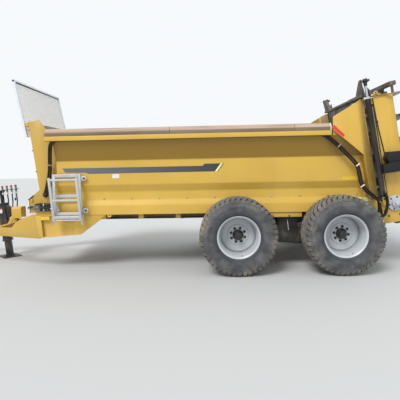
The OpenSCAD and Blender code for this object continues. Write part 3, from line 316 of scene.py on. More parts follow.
def stripeMaterial(look):  # the film darkens towards its rear end
    mat = makeMaterial("stripeFilm", 0.35, coat=0.3)
    along = ranged(mat, partOf(mat, coordsOf(mat), "X"), pivotX + look["from"], pivotX + look["to"])
    colour = mixed(mat, along, look["front"], look["rear"])
    return finish(mat, colour, ranged(mat, noiseOf(mat, 8, 4), 0.3, 0.7, 0.3, 0.42))


galvanized = galvanizedMaterial()
hoseRubber = plainMaterial("hoseRubber", (0.018, 0.018, 0.019), 0.5)
blackPlastic = plainMaterial("blackPlastic", (0.022, 0.022, 0.023), 0.42)
whitePlastic = plainMaterial("whitePlastic", (0.8, 0.8, 0.78), 0.4, spread=0.92)
oldTie = plainMaterial("oldTie", (0.36, 0.29, 0.24), 0.5)
amberLens = plainMaterial("amberLens", (0.88, 0.56, 0.02), 0.25, coat=0.6)
redLens = plainMaterial("redLens", (0.8, 0.035, 0.03), 0.25, coat=0.6)
limeFilm = plainMaterial("limeFilm", (0.97, 0.98, 0.4), 0.3, coat=0.4)
stripeFilm = stripeMaterial(stripeLook)
# Less sheen, so that black stays black under the pale sky
for darkOne in (blackPaint, blackPlastic, hoseRubber):
    darkOne.node_tree.nodes["Principled BSDF"].inputs["Specular IOR Level"].default_value = 0.22
hubBlack = plainMaterial("hubBlack", (0.02, 0.019, 0.018), 0.42, coat=0.2)
boltZinc = plainMaterial("boltZinc", (0.42, 0.41, 0.38), 0.4, 0.7)
boltDark = plainMaterial("boltDark", (0.12, 0.1, 0.08), 0.5, 0.5)
print("materials made")

nodeFinish = {
    grimeAndShadePaint: ["frame_rails", "floor_sills"],
    tongueShadedPaint: ["drawbar_beams", "front_corner_plates"],
    yellowPaint: ["cross_bars", "front_side_frames", "drawbar_crossmember", "top_rails", "wing_left",
                  "wing_right", "beater_deck"],
    boxPaint: ["side_panel_left", "side_panel_right", "rear_side_panels", "gate_posts"],
    frontPaint: ["front_wall"],
    galvanized: ["front_screen", "ladder_fixed", "ladder_folding"],
    dirtySteel: ["floor", "apron", "top_beam", "gate", "beater_left", "beater_right"],
    shaftSteel: ["idler_shaft", "driveline", "hitch"],
    silverPaint: ["apron_drive", "wheel_front_left", "wheel_front_right", "wheel_rear_left",
                  "wheel_rear_right"],
    blackPaint: ["beater_gearboxes", "gate_cylinders", "walking_beams", "bogie_pivots", "parking_jack",
                 "hose_rack"],
    blackPlastic: ["rear_lamps"],
    hoseRubber: ["cylinder_hoses", "tyre_front_left", "tyre_front_right", "tyre_rear_left",
                 "tyre_rear_right"],
    chromeSteel: ["gate_rods"],
    whitePlastic: ["timber_rails"],
}
for material, names in nodeFinish.items():
    for name in names:
        mesh = frame["nodes"][name].data
        mesh.materials.clear()
        mesh.materials.append(material)


# Modelling helpers: each does what the same tools do by hand
def pickNothing():
    if bpy.context.object and bpy.context.object.mode != "OBJECT":
        bpy.ops.object.mode_set(mode="OBJECT")
    bpy.ops.object.select_all(action="DESELECT")


def pick(pieces):
    pickNothing()
    for piece in pieces:
        piece.select_set(True)
    bpy.context.view_layer.objects.active = pieces[0]


def settle(piece):  # place, turn and size go into the mesh
    pick([piece])
    bpy.ops.object.transform_apply(location=True, rotation=True, scale=True)
    return piece


def modified(piece, kind, **values):
    pick([piece])
    modifier = piece.modifiers.new(kind.lower(), kind)
    for key, value in values.items():
        setattr(modifier, key, value)
    bpy.ops.object.modifier_apply(modifier=modifier.name)
    return piece


def softened(piece, width=0.003, steps=2, angle=35):
    return modified(piece, "BEVEL", width=width, segments=steps, limit_method="ANGLE",
                    angle_limit=math.radians(angle))


def line(points):  # a row of joined vertices, left in edit mode
    pickNothing()
    bpy.ops.mesh.primitive_plane_add(size=0.01, location=points[0])
    piece = settle(bpy.context.object)
    bpy.ops.object.mode_set(mode="EDIT")
    bpy.ops.mesh.select_all(action="SELECT")
    bpy.ops.mesh.merge(type="CENTER")
    for last, point in zip(points, points[1:]):
        bpy.ops.mesh.extrude_vertices_move(TRANSFORM_OT_translate={"value": Vector(point) - Vector(last)})
    bpy.ops.mesh.select_all(action="SELECT")
    return piece


def outward():  # welds what was drawn, turns its faces out and leaves edit mode
    bpy.ops.mesh.select_all(action="SELECT")
    bpy.ops.mesh.remove_doubles(threshold=0.00005)
    bpy.ops.mesh.normals_make_consistent(inside=False)
    bpy.ops.object.mode_set(mode="OBJECT")


def plate(points, out, bevel=0.002, steps=2):  # a flat outline drawn out into a plate
    piece = line(points)
    bpy.ops.mesh.edge_face_add()
    bpy.ops.mesh.extrude_region_move(TRANSFORM_OT_translate={"value": out})
    outward()
    return softened(piece, bevel, steps) if bevel else piece


def rounded(point):  # two places that round alike count as one
    return tuple(round(part, 4) for part in point)


def folded(points, out, foldRadius, thickness, facing):  # a bent sheet with rounded folds
    piece = line(points)
    bpy.ops.mesh.extrude_region_move(TRANSFORM_OT_translate={"value": out})
    bpy.ops.object.mode_set(mode="OBJECT")
    mesh = piece.data
    along = Vector(out).normalized()
    ends = {rounded(points[0]), rounded(points[-1]), rounded(Vector(points[0]) + Vector(out)),
            rounded(Vector(points[-1]) + Vector(out))}
    for edge in mesh.edges:
        first, second = (mesh.vertices[index].co for index in edge.vertices)
        edge.select = abs((second - first).normalized().dot(along)) > 0.99 and rounded(first) not in ends
    chosen = {index for edge in mesh.edges if edge.select for index in edge.vertices}
    for vertex in mesh.vertices:
        vertex.select = vertex.index in chosen
    bpy.ops.object.mode_set(mode="EDIT")
    bpy.ops.mesh.select_mode(type="EDGE")
    bpy.ops.mesh.bevel(offset=foldRadius, segments=4, affect="EDGES")
    bpy.ops.mesh.select_mode(type="VERT")
    outward()
    if sum((face.normal * face.area for face in mesh.polygons), Vector()).dot(Vector(facing)) < 0:
        mesh.flip_normals()
    return modified(piece, "SOLIDIFY", thickness=thickness, offset=-1, use_even_offset=True)


def cutAway(piece, place, normal):  # trims what lies beyond a plane and closes the cut
    pick([piece])
    bpy.ops.object.mode_set(mode="EDIT")
    bpy.ops.mesh.select_all(action="SELECT")
    bpy.ops.mesh.bisect(plane_co=place, plane_no=normal, use_fill=True, clear_outer=True)
    bpy.ops.object.mode_set(mode="OBJECT")
    return piece


def spun(points, steps, axis=(0, 1, 0)):  # a section turned round an axis
    piece = line(points)
    bpy.ops.mesh.spin(steps=steps, angle=math.tau, center=(0, 0, 0), axis=axis)
    outward()
    return piece


def block(low, high, bevel=0.003, steps=2):
    pickNothing()
    low, high = Vector(low), Vector(high)
    bpy.ops.mesh.primitive_cube_add(size=1, location=(low + high) / 2)
    piece = bpy.context.object
    piece.scale = high - low
    settle(piece)
    return softened(piece, bevel, steps) if bevel else piece


def rod(start, end, radius, sides=24, bevel=0.002, endRadius=None):
    pickNothing()
    start, end = Vector(start), Vector(end)
    bpy.ops.mesh.primitive_cone_add(
        vertices=sides, radius1=radius, radius2=radius if endRadius is None else endRadius,
        depth=(end - start).length, location=(start + end) / 2,
        rotation=(end - start).to_track_quat("Z", "Y").to_euler())
    settle(bpy.context.object)
    return softened(bpy.context.object, bevel, 2, 50) if bevel else bpy.context.object


def tube(points, radius, sides=3):  # a hose or wire on a smooth curve
    pickNothing()
    curve = bpy.data.curves.new("tube", "CURVE")
    curve.dimensions = "3D"
    curve.bevel_depth = radius
    curve.bevel_resolution = sides
    curve.use_fill_caps = True
    curve.resolution_u = 8
    spline = curve.splines.new("NURBS")
    spline.points.add(len(points) - 1)
    for knot, point in zip(spline.points, points):
        knot.co = (*point, 1)
    spline.order_u = 4
    spline.use_endpoint_u = True
    piece = bpy.data.objects.new("tube", curve)
    bpy.context.scene.collection.objects.link(piece)
    pick([piece])
    bpy.ops.object.convert(target="MESH")
    return bpy.context.object


def copied(piece, turn):  # a copy with its own mesh, moved by a matrix
    twin = bpy.data.objects.new(piece.name, piece.data.copy())
    bpy.context.scene.collection.objects.link(twin)
    twin.data.transform(turn)
    if turn.determinant() < 0:
        twin.data.flip_normals()
    return twin


def mirrored(pieces):  # the same pieces on the other side
    return pieces + [copied(piece, Matrix.Scale(-1, 4, (0, 1, 0))) for piece in pieces]


def joined(name, pieces, material, body="root", smooth=35, stands=()):
    pick(pieces)
    if len(pieces) > 1:
        bpy.ops.object.join()
    whole = bpy.context.object
    whole.name = name
    whole.data.name = name
    whole.data.materials.clear()
    whole.data.materials.append(material)
    bpy.ops.object.shade_smooth_by_angle(angle=math.radians(smooth))
    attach(whole, body)
    if stands:
        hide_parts(*stands)
    return whole


def refined(node, material, width=0.003, steps=2):  # a CAD node again, with its edges rounded
    mesh = frame["nodes"][node].data.copy()
    piece = bpy.data.objects.new(node + "_soft", mesh)
    bpy.context.scene.collection.objects.link(piece)
    pick([piece])
    bpy.ops.object.mode_set(mode="EDIT")
    bpy.ops.mesh.select_all(action="SELECT")
    bpy.ops.mesh.remove_doubles(threshold=0.00005)
    bpy.ops.mesh.dissolve_limited(angle_limit=math.radians(2))
    bpy.ops.object.mode_set(mode="OBJECT")
    softened(piece, width, steps)
    return joined(node + "_soft", [piece], material, bodyOf[node], stands=(node,))


# Fasteners are modelled once at the origin, pointing up, and copied
def boltHead(size=0.016):
    washer = rod((0, 0, 0), (0, 0, size * 0.18), size * 1.1, 20, size * 0.05)
    head = rod((0, 0, size * 0.15), (0, 0, size * 0.75), size * 0.8, 6, size * 0.08)
    pick([head, washer])
    bpy.ops.object.join()
    return bpy.context.object


def boltsAt(places, normal, size=0.016):
    pattern = boltHead(size)
    turn = Vector(normal).to_track_quat("Z", "Y").to_matrix().to_4x4()
    made = []
    for place in places:
        spin = Matrix.Rotation(random.uniform(0, math.pi / 3), 4, "Z")
        made.append(copied(pattern, Matrix.Translation(place) @ turn @ spin))
    bpy.data.objects.remove(pattern)
    return made


# Tyres: a spun carcass with rows of blocks and shoulder ribs
tyreLook = {"radius": 0.5838, "crown": 0.5665, "blocks": 44, "spinSteps": 128, "axle": 0.776, "track": 1.239,
            "middle": 0.586, "rubber": (0.05, 0.052, 0.058), "dusty": (0.125, 0.125, 0.128),
            "mud": (0.27, 0.235, 0.175), "block": (0.3, 0.275, 0.225), "groove": (0.016, 0.014, 0.012)}
wheelSpots = {side + "_" + hand: Vector((pivotX + along * tyreLook["axle"], across * tyreLook["track"],
                                         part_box("tyre_" + side + "_" + hand)[1].z / 2))
              for side, along in (("front", -1), ("rear", 1))
              for hand, across in (("left", -1), ("right", 1))}


def tyreMaterial(look):
    mat = makeMaterial("muddyRubber", 0.7)
    place = coordsOf(mat, centre=(pivotX, 0, look["middle"]))
    x = maths(mat, "SUBTRACT", maths(mat, "ABSOLUTE", partOf(mat, place, "X")), look["axle"])
    beside = maths(mat, "SUBTRACT", maths(mat, "ABSOLUTE", partOf(mat, place, "Y")), look["track"])
    y = maths(mat, "ABSOLUTE", beside)
    z = partOf(mat, place, "Z")
    radius = maths(mat, "SQRT", maths(mat, "ADD", maths(mat, "MULTIPLY", x, x), maths(mat, "MULTIPLY", z, z)))
    colour = mixed(mat, ranged(mat, noiseOf(mat, 7, 7), 0.36, 0.66), look["rubber"], look["dusty"])
    beadDark = ranged(mat, radius, 0.41, 0.34)
    colour = mixed(mat, maths(mat, "MULTIPLY", beadDark, 0.75), colour, look["rubber"])
    smears = ranged(mat, noiseOf(mat, 4.5, 9, roughness=0.65), 0.5, 0.62)
    zone = maths(mat, "MULTIPLY", ranged(mat, radius, 0.44, 0.545), ranged(mat, y, 0.06, 0.19, 0.35, 1))
    mud = maths(mat, "MULTIPLY", maths(mat, "ADD", maths(mat, "MULTIPLY", smears, 0.75), 0.16), zone)
    colour = mixed(mat, mud, colour, look["mud"])
    # Painted shade: the colour darkens towards the floor of the tread grooves
    groove = maths(mat, "MULTIPLY", ranged(mat, radius, 0.5725, 0.5665), ranged(mat, y, 0.215, 0.19))
    groove = maths(mat, "MULTIPLY", groove, ranged(mat, radius, 0.548, 0.556))
    tops = maths(mat, "MULTIPLY", ranged(mat, radius, 0.5715, 0.5765), ranged(mat, smears, 0, 1, 0.35, 0.75))
    colour = mixed(mat, tops, colour, look["block"])
    colour = mixed(mat, maths(mat, "MULTIPLY", groove, 0.93), colour, look["groove"])
    relief = maths(mat, "ADD", noiseOf(mat, 60, 6), maths(mat, "MULTIPLY", mud, 1.5))
    return finish(mat, colour, ranged(mat, noiseOf(mat, 15, 4), 0.3, 0.7, 0.62, 0.9), relief, 0.35, 0.002)


def tyreShape(look):
    crown, top, base = look["crown"], look["radius"] - 0.0012, look["crown"] - 0.012
    section = [(0.296, 0.196), (0.322, 0.1975), (0.33, 0.213), (0.345, 0.2225), (0.352, 0.23),
               (0.356, 0.2255), (0.38, 0.237), (0.42, 0.2465), (0.455, 0.2485), (0.46, 0.2495),
               (0.463, 0.248), (0.495, 0.244), (0.525, 0.233), (0.548, 0.219), (0.56, 0.202), (crown, 0.18),
               (crown + 0.002, 0.09)]
    profile = ([(0, y, r) for r, y in section] + [(0, -y, r) for r, y in reversed(section)]
               + [(0, 0.196, 0.296)])
    parts = [spun(profile, look["spinSteps"])]
    shoulder = [(0.112, base), (0.112, top), (0.165, top - 0.0008), (0.203, top - 0.006), (0.231, 0.556),
                (0.2455, 0.516), (0.23, 0.508), (0.205, 0.545)]
    outer = plate([(-0.026 + 0.3 * (y - 0.11), y, r) for y, r in shoulder], (0.057, 0, 0), 0.0028, 1)
    tread = [(-0.04, 0.006, base), (-0.04, 0.006, top + 0.0008), (-0.002, 0.1, top + 0.0004),
             (-0.002, 0.1, base)]
    inner = plate(tread, (0.06, 0, 0), 0.0028, 1)
    side = [(0.2415, 0.47), (0.2465, 0.476), (0.2475, 0.5), (0.24, 0.516), (0.233, 0.516)]
    rib = plate([(-0.006 + 0.3 * (y - 0.2), y, r) for y, r in side], (0.018, 0, 0), 0.002, 1)
    pitch = math.tau / look["blocks"]
    half = Matrix.Rotation(math.pi, 4, "Z")
    for number in range(look["blocks"]):
        for pattern, shift in ((outer, 0.0), (inner, 0.42), (rib, 0.0)):
            parts.append(copied(pattern, Matrix.Rotation(pitch * (number + shift), 4, "Y")))
            parts.append(copied(pattern, Matrix.Rotation(pitch * (number + shift + 0.5), 4, "Y") @ half))
    for pattern in (outer, inner, rib):
        bpy.data.objects.remove(pattern)
    pick(parts)
    bpy.ops.object.join()
    return bpy.context.object


muddyRubber = tyreMaterial(tyreLook)
tyrePattern = tyreShape(tyreLook)
for corner, place in wheelSpots.items():
    phase = Matrix.Rotation(random.uniform(0, math.tau), 4, "Y")
    copy = copied(tyrePattern, Matrix.Translation(place) @ phase)
    joined("tyre_tread_" + corner, [copy], muddyRubber, "wheel_" + corner, 32, ("tyre_" + corner,))
bpy.data.objects.remove(tyrePattern)
print("tyres made")

# Wheels: rim, dished disc, hub and nuts; the outer face looks along -Y
wheelLook = {"flange": 0.3195, "width": 0.2095, "steps": 96, "nuts": 8, "nutCircle": 0.109, "nutSize": 0.0195,
             "face": -0.062, "hub": 0.0825, "caps": 6, "capCircle": 0.047, "capSize": 0.006}


def wheelShape(look):
    edge, width, face, wide = look["flange"], look["width"], look["face"], look["hub"]
    rim = [(0.3135, width), (edge, width - 0.001), (edge, width - 0.01), (0.308, width - 0.013),
           (0.2975, width - 0.016), (0.2945, 0.15), (0.279, 0.128), (0.2745, 0.08), (0.2745, -0.08),
           (0.2945, -0.15), (0.2975, 0.016 - width), (0.308, 0.013 - width), (edge, 0.01 - width),
           (edge, 0.001 - width), (0.3135, -width)]
    back = [(0.305, -0.204), (0.29, -0.192), (0.287, -0.152), (0.268, -0.082), (0.268, 0.08),
            (0.2715, 0.126), (0.287, 0.152), (0.29, 0.192), (0.305, 0.204)]
    disc = [(0.2685, face - 0.014), (0.26, face - 0.004), (0.242, face + 0.002), (0.236, face - 0.006),
            (0.165, face - 0.002), (0.155, face + 0.01), (0.07, face + 0.012), (0.07, face + 0.002),
            (0.15, face), (0.16, face - 0.012), (0.235, face - 0.018), (0.26, face - 0.026),
            (0.2685, face - 0.032)]
    hub = [(0.0, face + 0.118), (0.04, face + 0.117), (0.052, face + 0.112), (0.057, face + 0.104),
           (0.058, face + 0.066), (0.066, face + 0.062), (0.073, face + 0.055), (0.075, face + 0.03),
           (wide, face + 0.026), (wide, face - 0.104), (0.06, face - 0.106), (0.0355, face - 0.106),
           (0.0355, face - 0.06), (0.0, face - 0.06)]
    rimParts = [spun([(0, -o, r) for r, o in section + section[:1]], look["steps"])
                for section in (rim + back, disc)]
    hubParts = [spun([(0, -o, max(r, 0.0002)) for r, o in hub], 48)]

    def ring(patterns, count, circle, out, first=0):
        for number in range(count):
            turn = Matrix.Rotation(math.tau * (number + first) / count, 4, "Y")
            place = turn @ Matrix.Translation((0, out, circle)) @ Matrix.Rotation(math.pi / 2, 4, "X")
            hubParts.extend([copied(pattern, place) for pattern in patterns])
        for pattern in patterns:
            bpy.data.objects.remove(pattern)

    stud = rod((0, 0, 0.008), (0, 0, 0.026), 0.0075, 14, 0.001)
    ring([boltHead(look["nutSize"]), stud], look["nuts"], look["nutCircle"], -face - 0.012, 0.4)
    ring([boltHead(look["capSize"])], look["caps"], look["capCircle"], -face - 0.1165)
    hubParts.append(rod((0.05, -0.168, -0.278), (0.052, -0.19, -0.262), 0.004, 10, 0.001))
    return rimParts, hubParts


rimPatterns, hubPatterns = wheelShape(wheelLook)
for corner, place in wheelSpots.items():
    side = Matrix.Identity(4) if "left" in corner else Matrix.Rotation(math.pi, 4, "Z")
    turn = Matrix.Translation(place) @ side @ Matrix.Rotation(random.uniform(-0.3, 0.3), 4, "Y")
    for key, patterns, material, smooth, stands in (
            ("rim_", rimPatterns, silverPaint, 30, ("wheel_" + corner,)),
            ("hub_", hubPatterns, hubBlack, 35, ())):
        made = [copied(pattern, turn) for pattern in patterns]
        joined(key + corner, made, material, "wheel_" + corner, smooth, stands)
for pattern in rimPatterns + hubPatterns:
    bpy.data.objects.remove(pattern)
print("wheels made")


# Short cuts for what the fittings repeat
def moved(pieces, *turns):  # the meshes themselves are moved, by each matrix in turn
    for piece in pieces:
        for turn in turns:
            piece.data.transform(turn)
    return pieces


def corners(left, low, right, high):  # of an upright rectangle
    return [(left, low), (right, low), (right, high), (left, high)]


def sidePlate(outline, y, out, bevel=0.002):  # an outline of (x, z) points drawn out across
    return plate([spot(x, y, z) for x, z in outline], (0, out, 0), bevel)


def crossPlate(outline, x, out, bevel=0.002):  # an outline of (y, z) points drawn out along the machine
    return plate([spot(x, y, z) for y, z in outline], (out, 0, 0), bevel)


def patch(points, normal, thickness=0.0008):  # a flat film or label lying on a face
    return plate(points, Vector(normal).normalized() * thickness, 0)


def turned(section, steps, place=(0, 0, 0)):  # (across, radius) pairs turned round an axis across
    return moved([spun([(0, y, r) for y, r in section], steps)], Matrix.Translation(place))[0]


def turnedUp(section, steps):  # (radius, height) pairs turned round an upright axis
    return spun([(r, 0, w) for r, w in section], steps, axis=(0, 0, 1))


def boltRow(name, places, size, material, both=True):  # bolts whose heads look to the near side
    bolts = boltsAt(places, (0, -1, 0), size)
    joined(name, mirrored(bolts) if both else bolts, material)


def hollowEnd(piece, way, wall, depth):  # the end that looks this way becomes an open tube
    way = Vector(way).normalized()
    pick([piece])
    bpy.ops.object.mode_set(mode="EDIT")
    bpy.ops.mesh.select_mode(type="FACE")
    bpy.ops.mesh.select_all(action="DESELECT")
    bpy.ops.object.mode_set(mode="OBJECT")
    for face in piece.data.polygons:
        face.select = face.normal.dot(way) > 0.99
    bpy.ops.object.mode_set(mode="EDIT")
    bpy.ops.mesh.inset(thickness=wall)
    bpy.ops.mesh.extrude_region_move(TRANSFORM_OT_translate={"value": -way * depth})
    bpy.ops.mesh.select_mode(type="VERT")
    bpy.ops.object.mode_set(mode="OBJECT")
    return piece


# Finishes of the box's fittings
def woodMaterial(look):
    mat = makeMaterial("weatheredPlank", 0.85)
    grain = noiseOf(mat, 26, 8, (22, 1, 1), 0.6)
    broad = noiseOf(mat, 3.2, 4, (5, 1, 1))
    colour = mixed(mat, ranged(mat, grain, 0.3, 0.7), look["dark"], look["light"])
    colour = mixed(mat, ranged(mat, broad, 0.42, 0.66, 0, 0.45), colour, look["bleached"])
    cracks = ranged(mat, noiseOf(mat, 60, 3, (40, 1, 1), 0.5), 0.3, 0.36, 1, 0)
    colour = mixed(mat, cracks, colour, look["crack"])
    knots = ranged(mat, cellsOf(mat, 2.2, (2.2, 1, 1)), 0.05, 0.1, 0.85, 0)
    colour = mixed(mat, knots, colour, look["crack"])
    # Painted sky light: faces that look up are mixed towards a lighter colour
    upwards = ranged(mat, partOf(mat, normalOf(mat), "Z"), 0.2, 0.65)
    paintedSkyLight = maths(mat, "MULTIPLY", upwards, ranged(mat, grain, 0.3, 0.6, 0.35, 0.95))
    colour = mixed(mat, paintedSkyLight, colour, look["paintedSkyLight"])
    relief = maths(mat, "SUBTRACT", grain, maths(mat, "MULTIPLY", cracks, 1.6))
    return finish(mat, colour, ranged(mat, grain, 0.3, 0.7, 0.7, 0.95), relief, 0.5, 0.0035)


def paleMaterial(light, dark):
    mat = makeMaterial("paleEnd", 0.6)
    blotches = noiseOf(mat, 25, 5)
    return finish(mat, mixed(mat, ranged(mat, blotches, 0.35, 0.7), light, dark), 0.6, blotches, 0.2)


weatheredPlank = woodMaterial({"dark": (0.125, 0.08, 0.052), "light": (0.27, 0.19, 0.135),
                               "bleached": (0.36, 0.275, 0.215), "paintedSkyLight": (0.54, 0.405, 0.295),
                               "crack": (0.045, 0.028, 0.018)})
paleEnd = paleMaterial((0.74, 0.72, 0.67), (0.46, 0.4, 0.33))

# Box sides: one folded sheet on each side, with a return at the front
slopeBack = (math.cos(gateLean), 0, math.sin(gateLean))
sideLook = {"folds": [(0.965, 0.895), (0.965, 1.04), (0.932, 1.13), (0.932, 1.258), (0.985, 1.372),
                      (0.985, 1.745), (1.1, 2.0568)],
            "from": -3.6, "long": 5.03, "thickness": 0.012, "foldRadius": 0.016, "cutBack": -0.15,
            "inner": 0.92}


def boxSide(look):
    start, folds, inner = look["from"], look["folds"], look["inner"]
    sheet = folded([spot(start, -y, z) for y, z in folds], (look["long"], 0, 0), look["foldRadius"],
                   look["thickness"], facing=(0, -1, 0))
    cutAway(sheet, onSlope(look["cutBack"], 0, 0), slopeBack)
    softened(sheet, 0.0018, 1, 60)
    outline = [(-y + 0.001, z) for y, z in folds] + [(-inner, folds[-1][1]), (-inner, folds[0][1])]
    pick([sheet, crossPlate(outline, start, look["thickness"], 0.003)])
    bpy.ops.object.join()
    return bpy.context.object


leftSide = boxSide(sideLook)
rightSide = copied(leftSide, Matrix.Scale(-1, 4, (0, 1, 0)))
joined("box_side_left", [leftSide], boxPaint, smooth=30, stands=("side_panel_left",))
joined("box_side_right", [rightSide], boxPaint, smooth=30, stands=("side_panel_right",))

# Top rails: square tube with open ends, and the planks bolted on them
railLook = {"from": -3.711, "to": 0.635, "out": 1.15, "inner": 1.062, "low": 2.057, "high": 2.133,
            "wall": 0.005}
planks = {"joints": (-3.706, -1.785, 0.09, 0.612), "high": 2.245, "chamfer": 0.06, "width": 0.15,
          "gap": 0.003, "cap": (0.6128, 0.6345), "boltRow": -1.082, "boltSink": 0.006,
          "bolts": (-3.45, -2.7, -1.98, -1.6, -0.85, -0.1, 0.25, 0.52)}


def topRail(look):
    rail = block(spot(look["from"], -look["out"], look["low"]),
                 spot(look["to"], -look["inner"], look["high"]), 0.009, 3)
    for way in ((1, 0, 0), (-1, 0, 0)):
        hollowEnd(rail, way, look["wall"], 0.12)
    return rail


def plankBetween(start, end, look, rail):
    low, high, out = rail["high"], look["high"], rail["out"]
    back = look["width"] - out
    section = [(back, low), (-out, low), (-out, high - look["chamfer"]), (look["chamfer"] - out, high),
               (back, high)]
    return crossPlate(section, start, end - start, 0.004)


joined("top_rail_tubes", mirrored([topRail(railLook)]), yellowPaint, stands=("top_rails",))
boards = [plankBetween(start + planks["gap"] / 2, end - planks["gap"] / 2, planks, railLook)
          for start, end in zip(planks["joints"], planks["joints"][1:])]
joined("plank_rails", mirrored(boards), weatheredPlank, stands=("timber_rails",))
joined("plank_end_caps", mirrored([plankBetween(*planks["cap"], planks, railLook)]), paleEnd)
plankBolts = boltsAt([spot(x, planks["boltRow"], planks["high"] + 0.0001) for x in planks["bolts"]],
                     (0, 0, 1), 0.009)
moved(plankBolts, Matrix.Translation((0, 0, -planks["boltSink"])))
joined("plank_bolts", mirrored(plankBolts), boltZinc)
print("box sides, rails and planks made")

# Blank film, labels and reflectors; belly is the box side's flat face
filmLook = {"belly": -0.9853,
            "stripe": [(-3.511, 1.64), (-1.3, 1.641), (-1.27, 1.673), (-0.968, 1.673), (-1.063, 1.551),
                       (-3.083, 1.547), (-3.146, 1.568), (-3.463, 1.574)],
            "slash": [(-1.02, 1.6725), (-0.985, 1.6725), (-1.075, 1.5515), (-1.11, 1.5515)],
            "label": corners(-2.72, 1.473, -2.612, 1.536), "amber": corners(0.843, 1.378, 1.063, 1.434),
            "lime": [(1.1, -0.9652, 1.042), (1.3, -0.9652, 1.042), (1.29, -0.9412, 1.1058),
                     (1.104, -0.9412, 1.1058)], "limeFacing": (0, -0.94, 0.34)}
reflectorLook = {"middle": Vector((-0.4615, 1.2175)), "along": Vector((0.606, -0.795)),
                 "up": Vector((0.795, 0.606)), "half": (0.111, 0.025), "across": -1.1124, "thickness": 0.004}


def film(name, key, material, lift=0, thickness=0.0008, both=True):
    piece = patch([spot(x, filmLook["belly"] - lift, z) for x, z in filmLook[key]], (0, -1, 0), thickness)
    joined(name, mirrored([piece]) if both else [piece], material)


def slantedReflector(look):
    long, wide = look["half"]
    places = [look["middle"] + look["along"] * a * long + look["up"] * b * wide
              for a, b in corners(-1, -1, 1, 1)]
    return plate([onSlope(u, look["across"], w) for u, w in places], (0, -look["thickness"], 0), 0.001)


film("side_stripe", "stripe", stripeFilm)
film("stripe_slash", "slash", limeFilm, lift=0.0009)
film("side_label", "label", whitePlastic, both=False)
film("amber_strip", "amber", amberLens, thickness=0.0015)
limePatch = patch([spot(*point) for point in filmLook["lime"]], filmLook["limeFacing"], 0.0012)
joined("lime_patch", mirrored([limePatch]), limeFilm)
joined("red_reflectors", mirrored([slantedReflector(reflectorLook)]), redLens)
frontAmber = sidePlate(corners(-3.912, 0.822, -3.766, 0.878), -0.9551, -0.005, 0.0012)
joined("front_reflectors", mirrored([frontAmber]), amberLens)
sideBolts = {"first": -2.876, "step": 0.4401, "count": 10, "face": -0.9321, "up": 1.143}
rowPlaces = [spot(sideBolts["first"] + sideBolts["step"] * i, sideBolts["face"], sideBolts["up"])
             for i in range(sideBolts["count"])]
boltRow("side_bolts", rowPlaces, 0.0125, boltZinc)
boltRow("channel_bolts", [spot(x, -0.9431, 0.832) for x in (-0.215, 0.043)], 0.014, boltDark)
print("film, labels and bolts on")

# CAD pieces whose shape is right: the same again with their edges rounded
edgeWidths = {"frame_rails": 0.004, "cross_bars": 0.004, "front_side_frames": 0.004, "drawbar_beams": 0.006,
              "drawbar_crossmember": 0.006, "hitch": 0.006, "front_wall": 0.003, "front_corner_plates": 0.003,
              "floor_sills": 0.003, "rear_side_panels": 0.0025, "gate_posts": 0.0025, "wing_left": 0.003,
              "wing_right": 0.003, "top_beam": 0.005, "beater_deck": 0.003, "beater_gearboxes": 0.01,
              "walking_beams": 0.006, "bogie_pivots": 0.004}
finishOf = {name: material for material, names in nodeFinish.items() for name in names}
softPieces = {node: refined(node, finishOf[node], width) for node, width in edgeWidths.items()}
cutAway(softPieces["gate_posts"], spot(0.66, 0, 2.332), Vector((-0.266, 0, 0.443)).normalized())
# Below the posts the folded side runs on to the rear frame
cutAway(softPieces["gate_posts"], spot(1.3, 0, 1.106), (0, 0, -1))
tailFolds = sideLook["folds"][:2] + [(0.9405, 1.107), (0.93, 1.107)]
skirtTail = folded([spot(1.15, -y, z) for y, z in tailFolds], (0.4, 0, 0), 0.008, sideLook["thickness"],
                   facing=(0, -1, 0))
cutAway(skirtTail, onSlope(-0.008, 0, 0), slopeBack)
joined("side_skirt_tails", mirrored([skirtTail]), boxPaint, smooth=30)
print("carried-over pieces softened")

slopeTurn = Matrix.Translation(gateFoot) @ Matrix.Rotation(-gateLean, 4, "Y")


def slopePlate(points, y, out, bevel=0.002):  # an outline of (back, up) points drawn out across
    return plate([onSlope(u, y, w) for u, w in points], (0, out, 0), bevel)


def acrossPlate(outline, front, back, bevel=0.002):  # an outline of (across, up) points drawn out backwards
    return moved([plate([(front, y, w) for y, w in outline], (back - front, 0, 0), bevel)], slopeTurn)[0]


# Gate cylinders: barrel with gland, base ring, ports and a clamp at the top
cylinderLook = {"back": 0.058, "across": -1.05, "low": 0.12, "high": 1.6, "radius": 0.045, "rod": 0.02,
                "eye": 0.034, "pin": 0.016, "pinLow": 0.08, "pinHigh": 1.869, "tube": 0.008}
cylinderPlace = Matrix.Translation((cylinderLook["back"], cylinderLook["across"], 0))


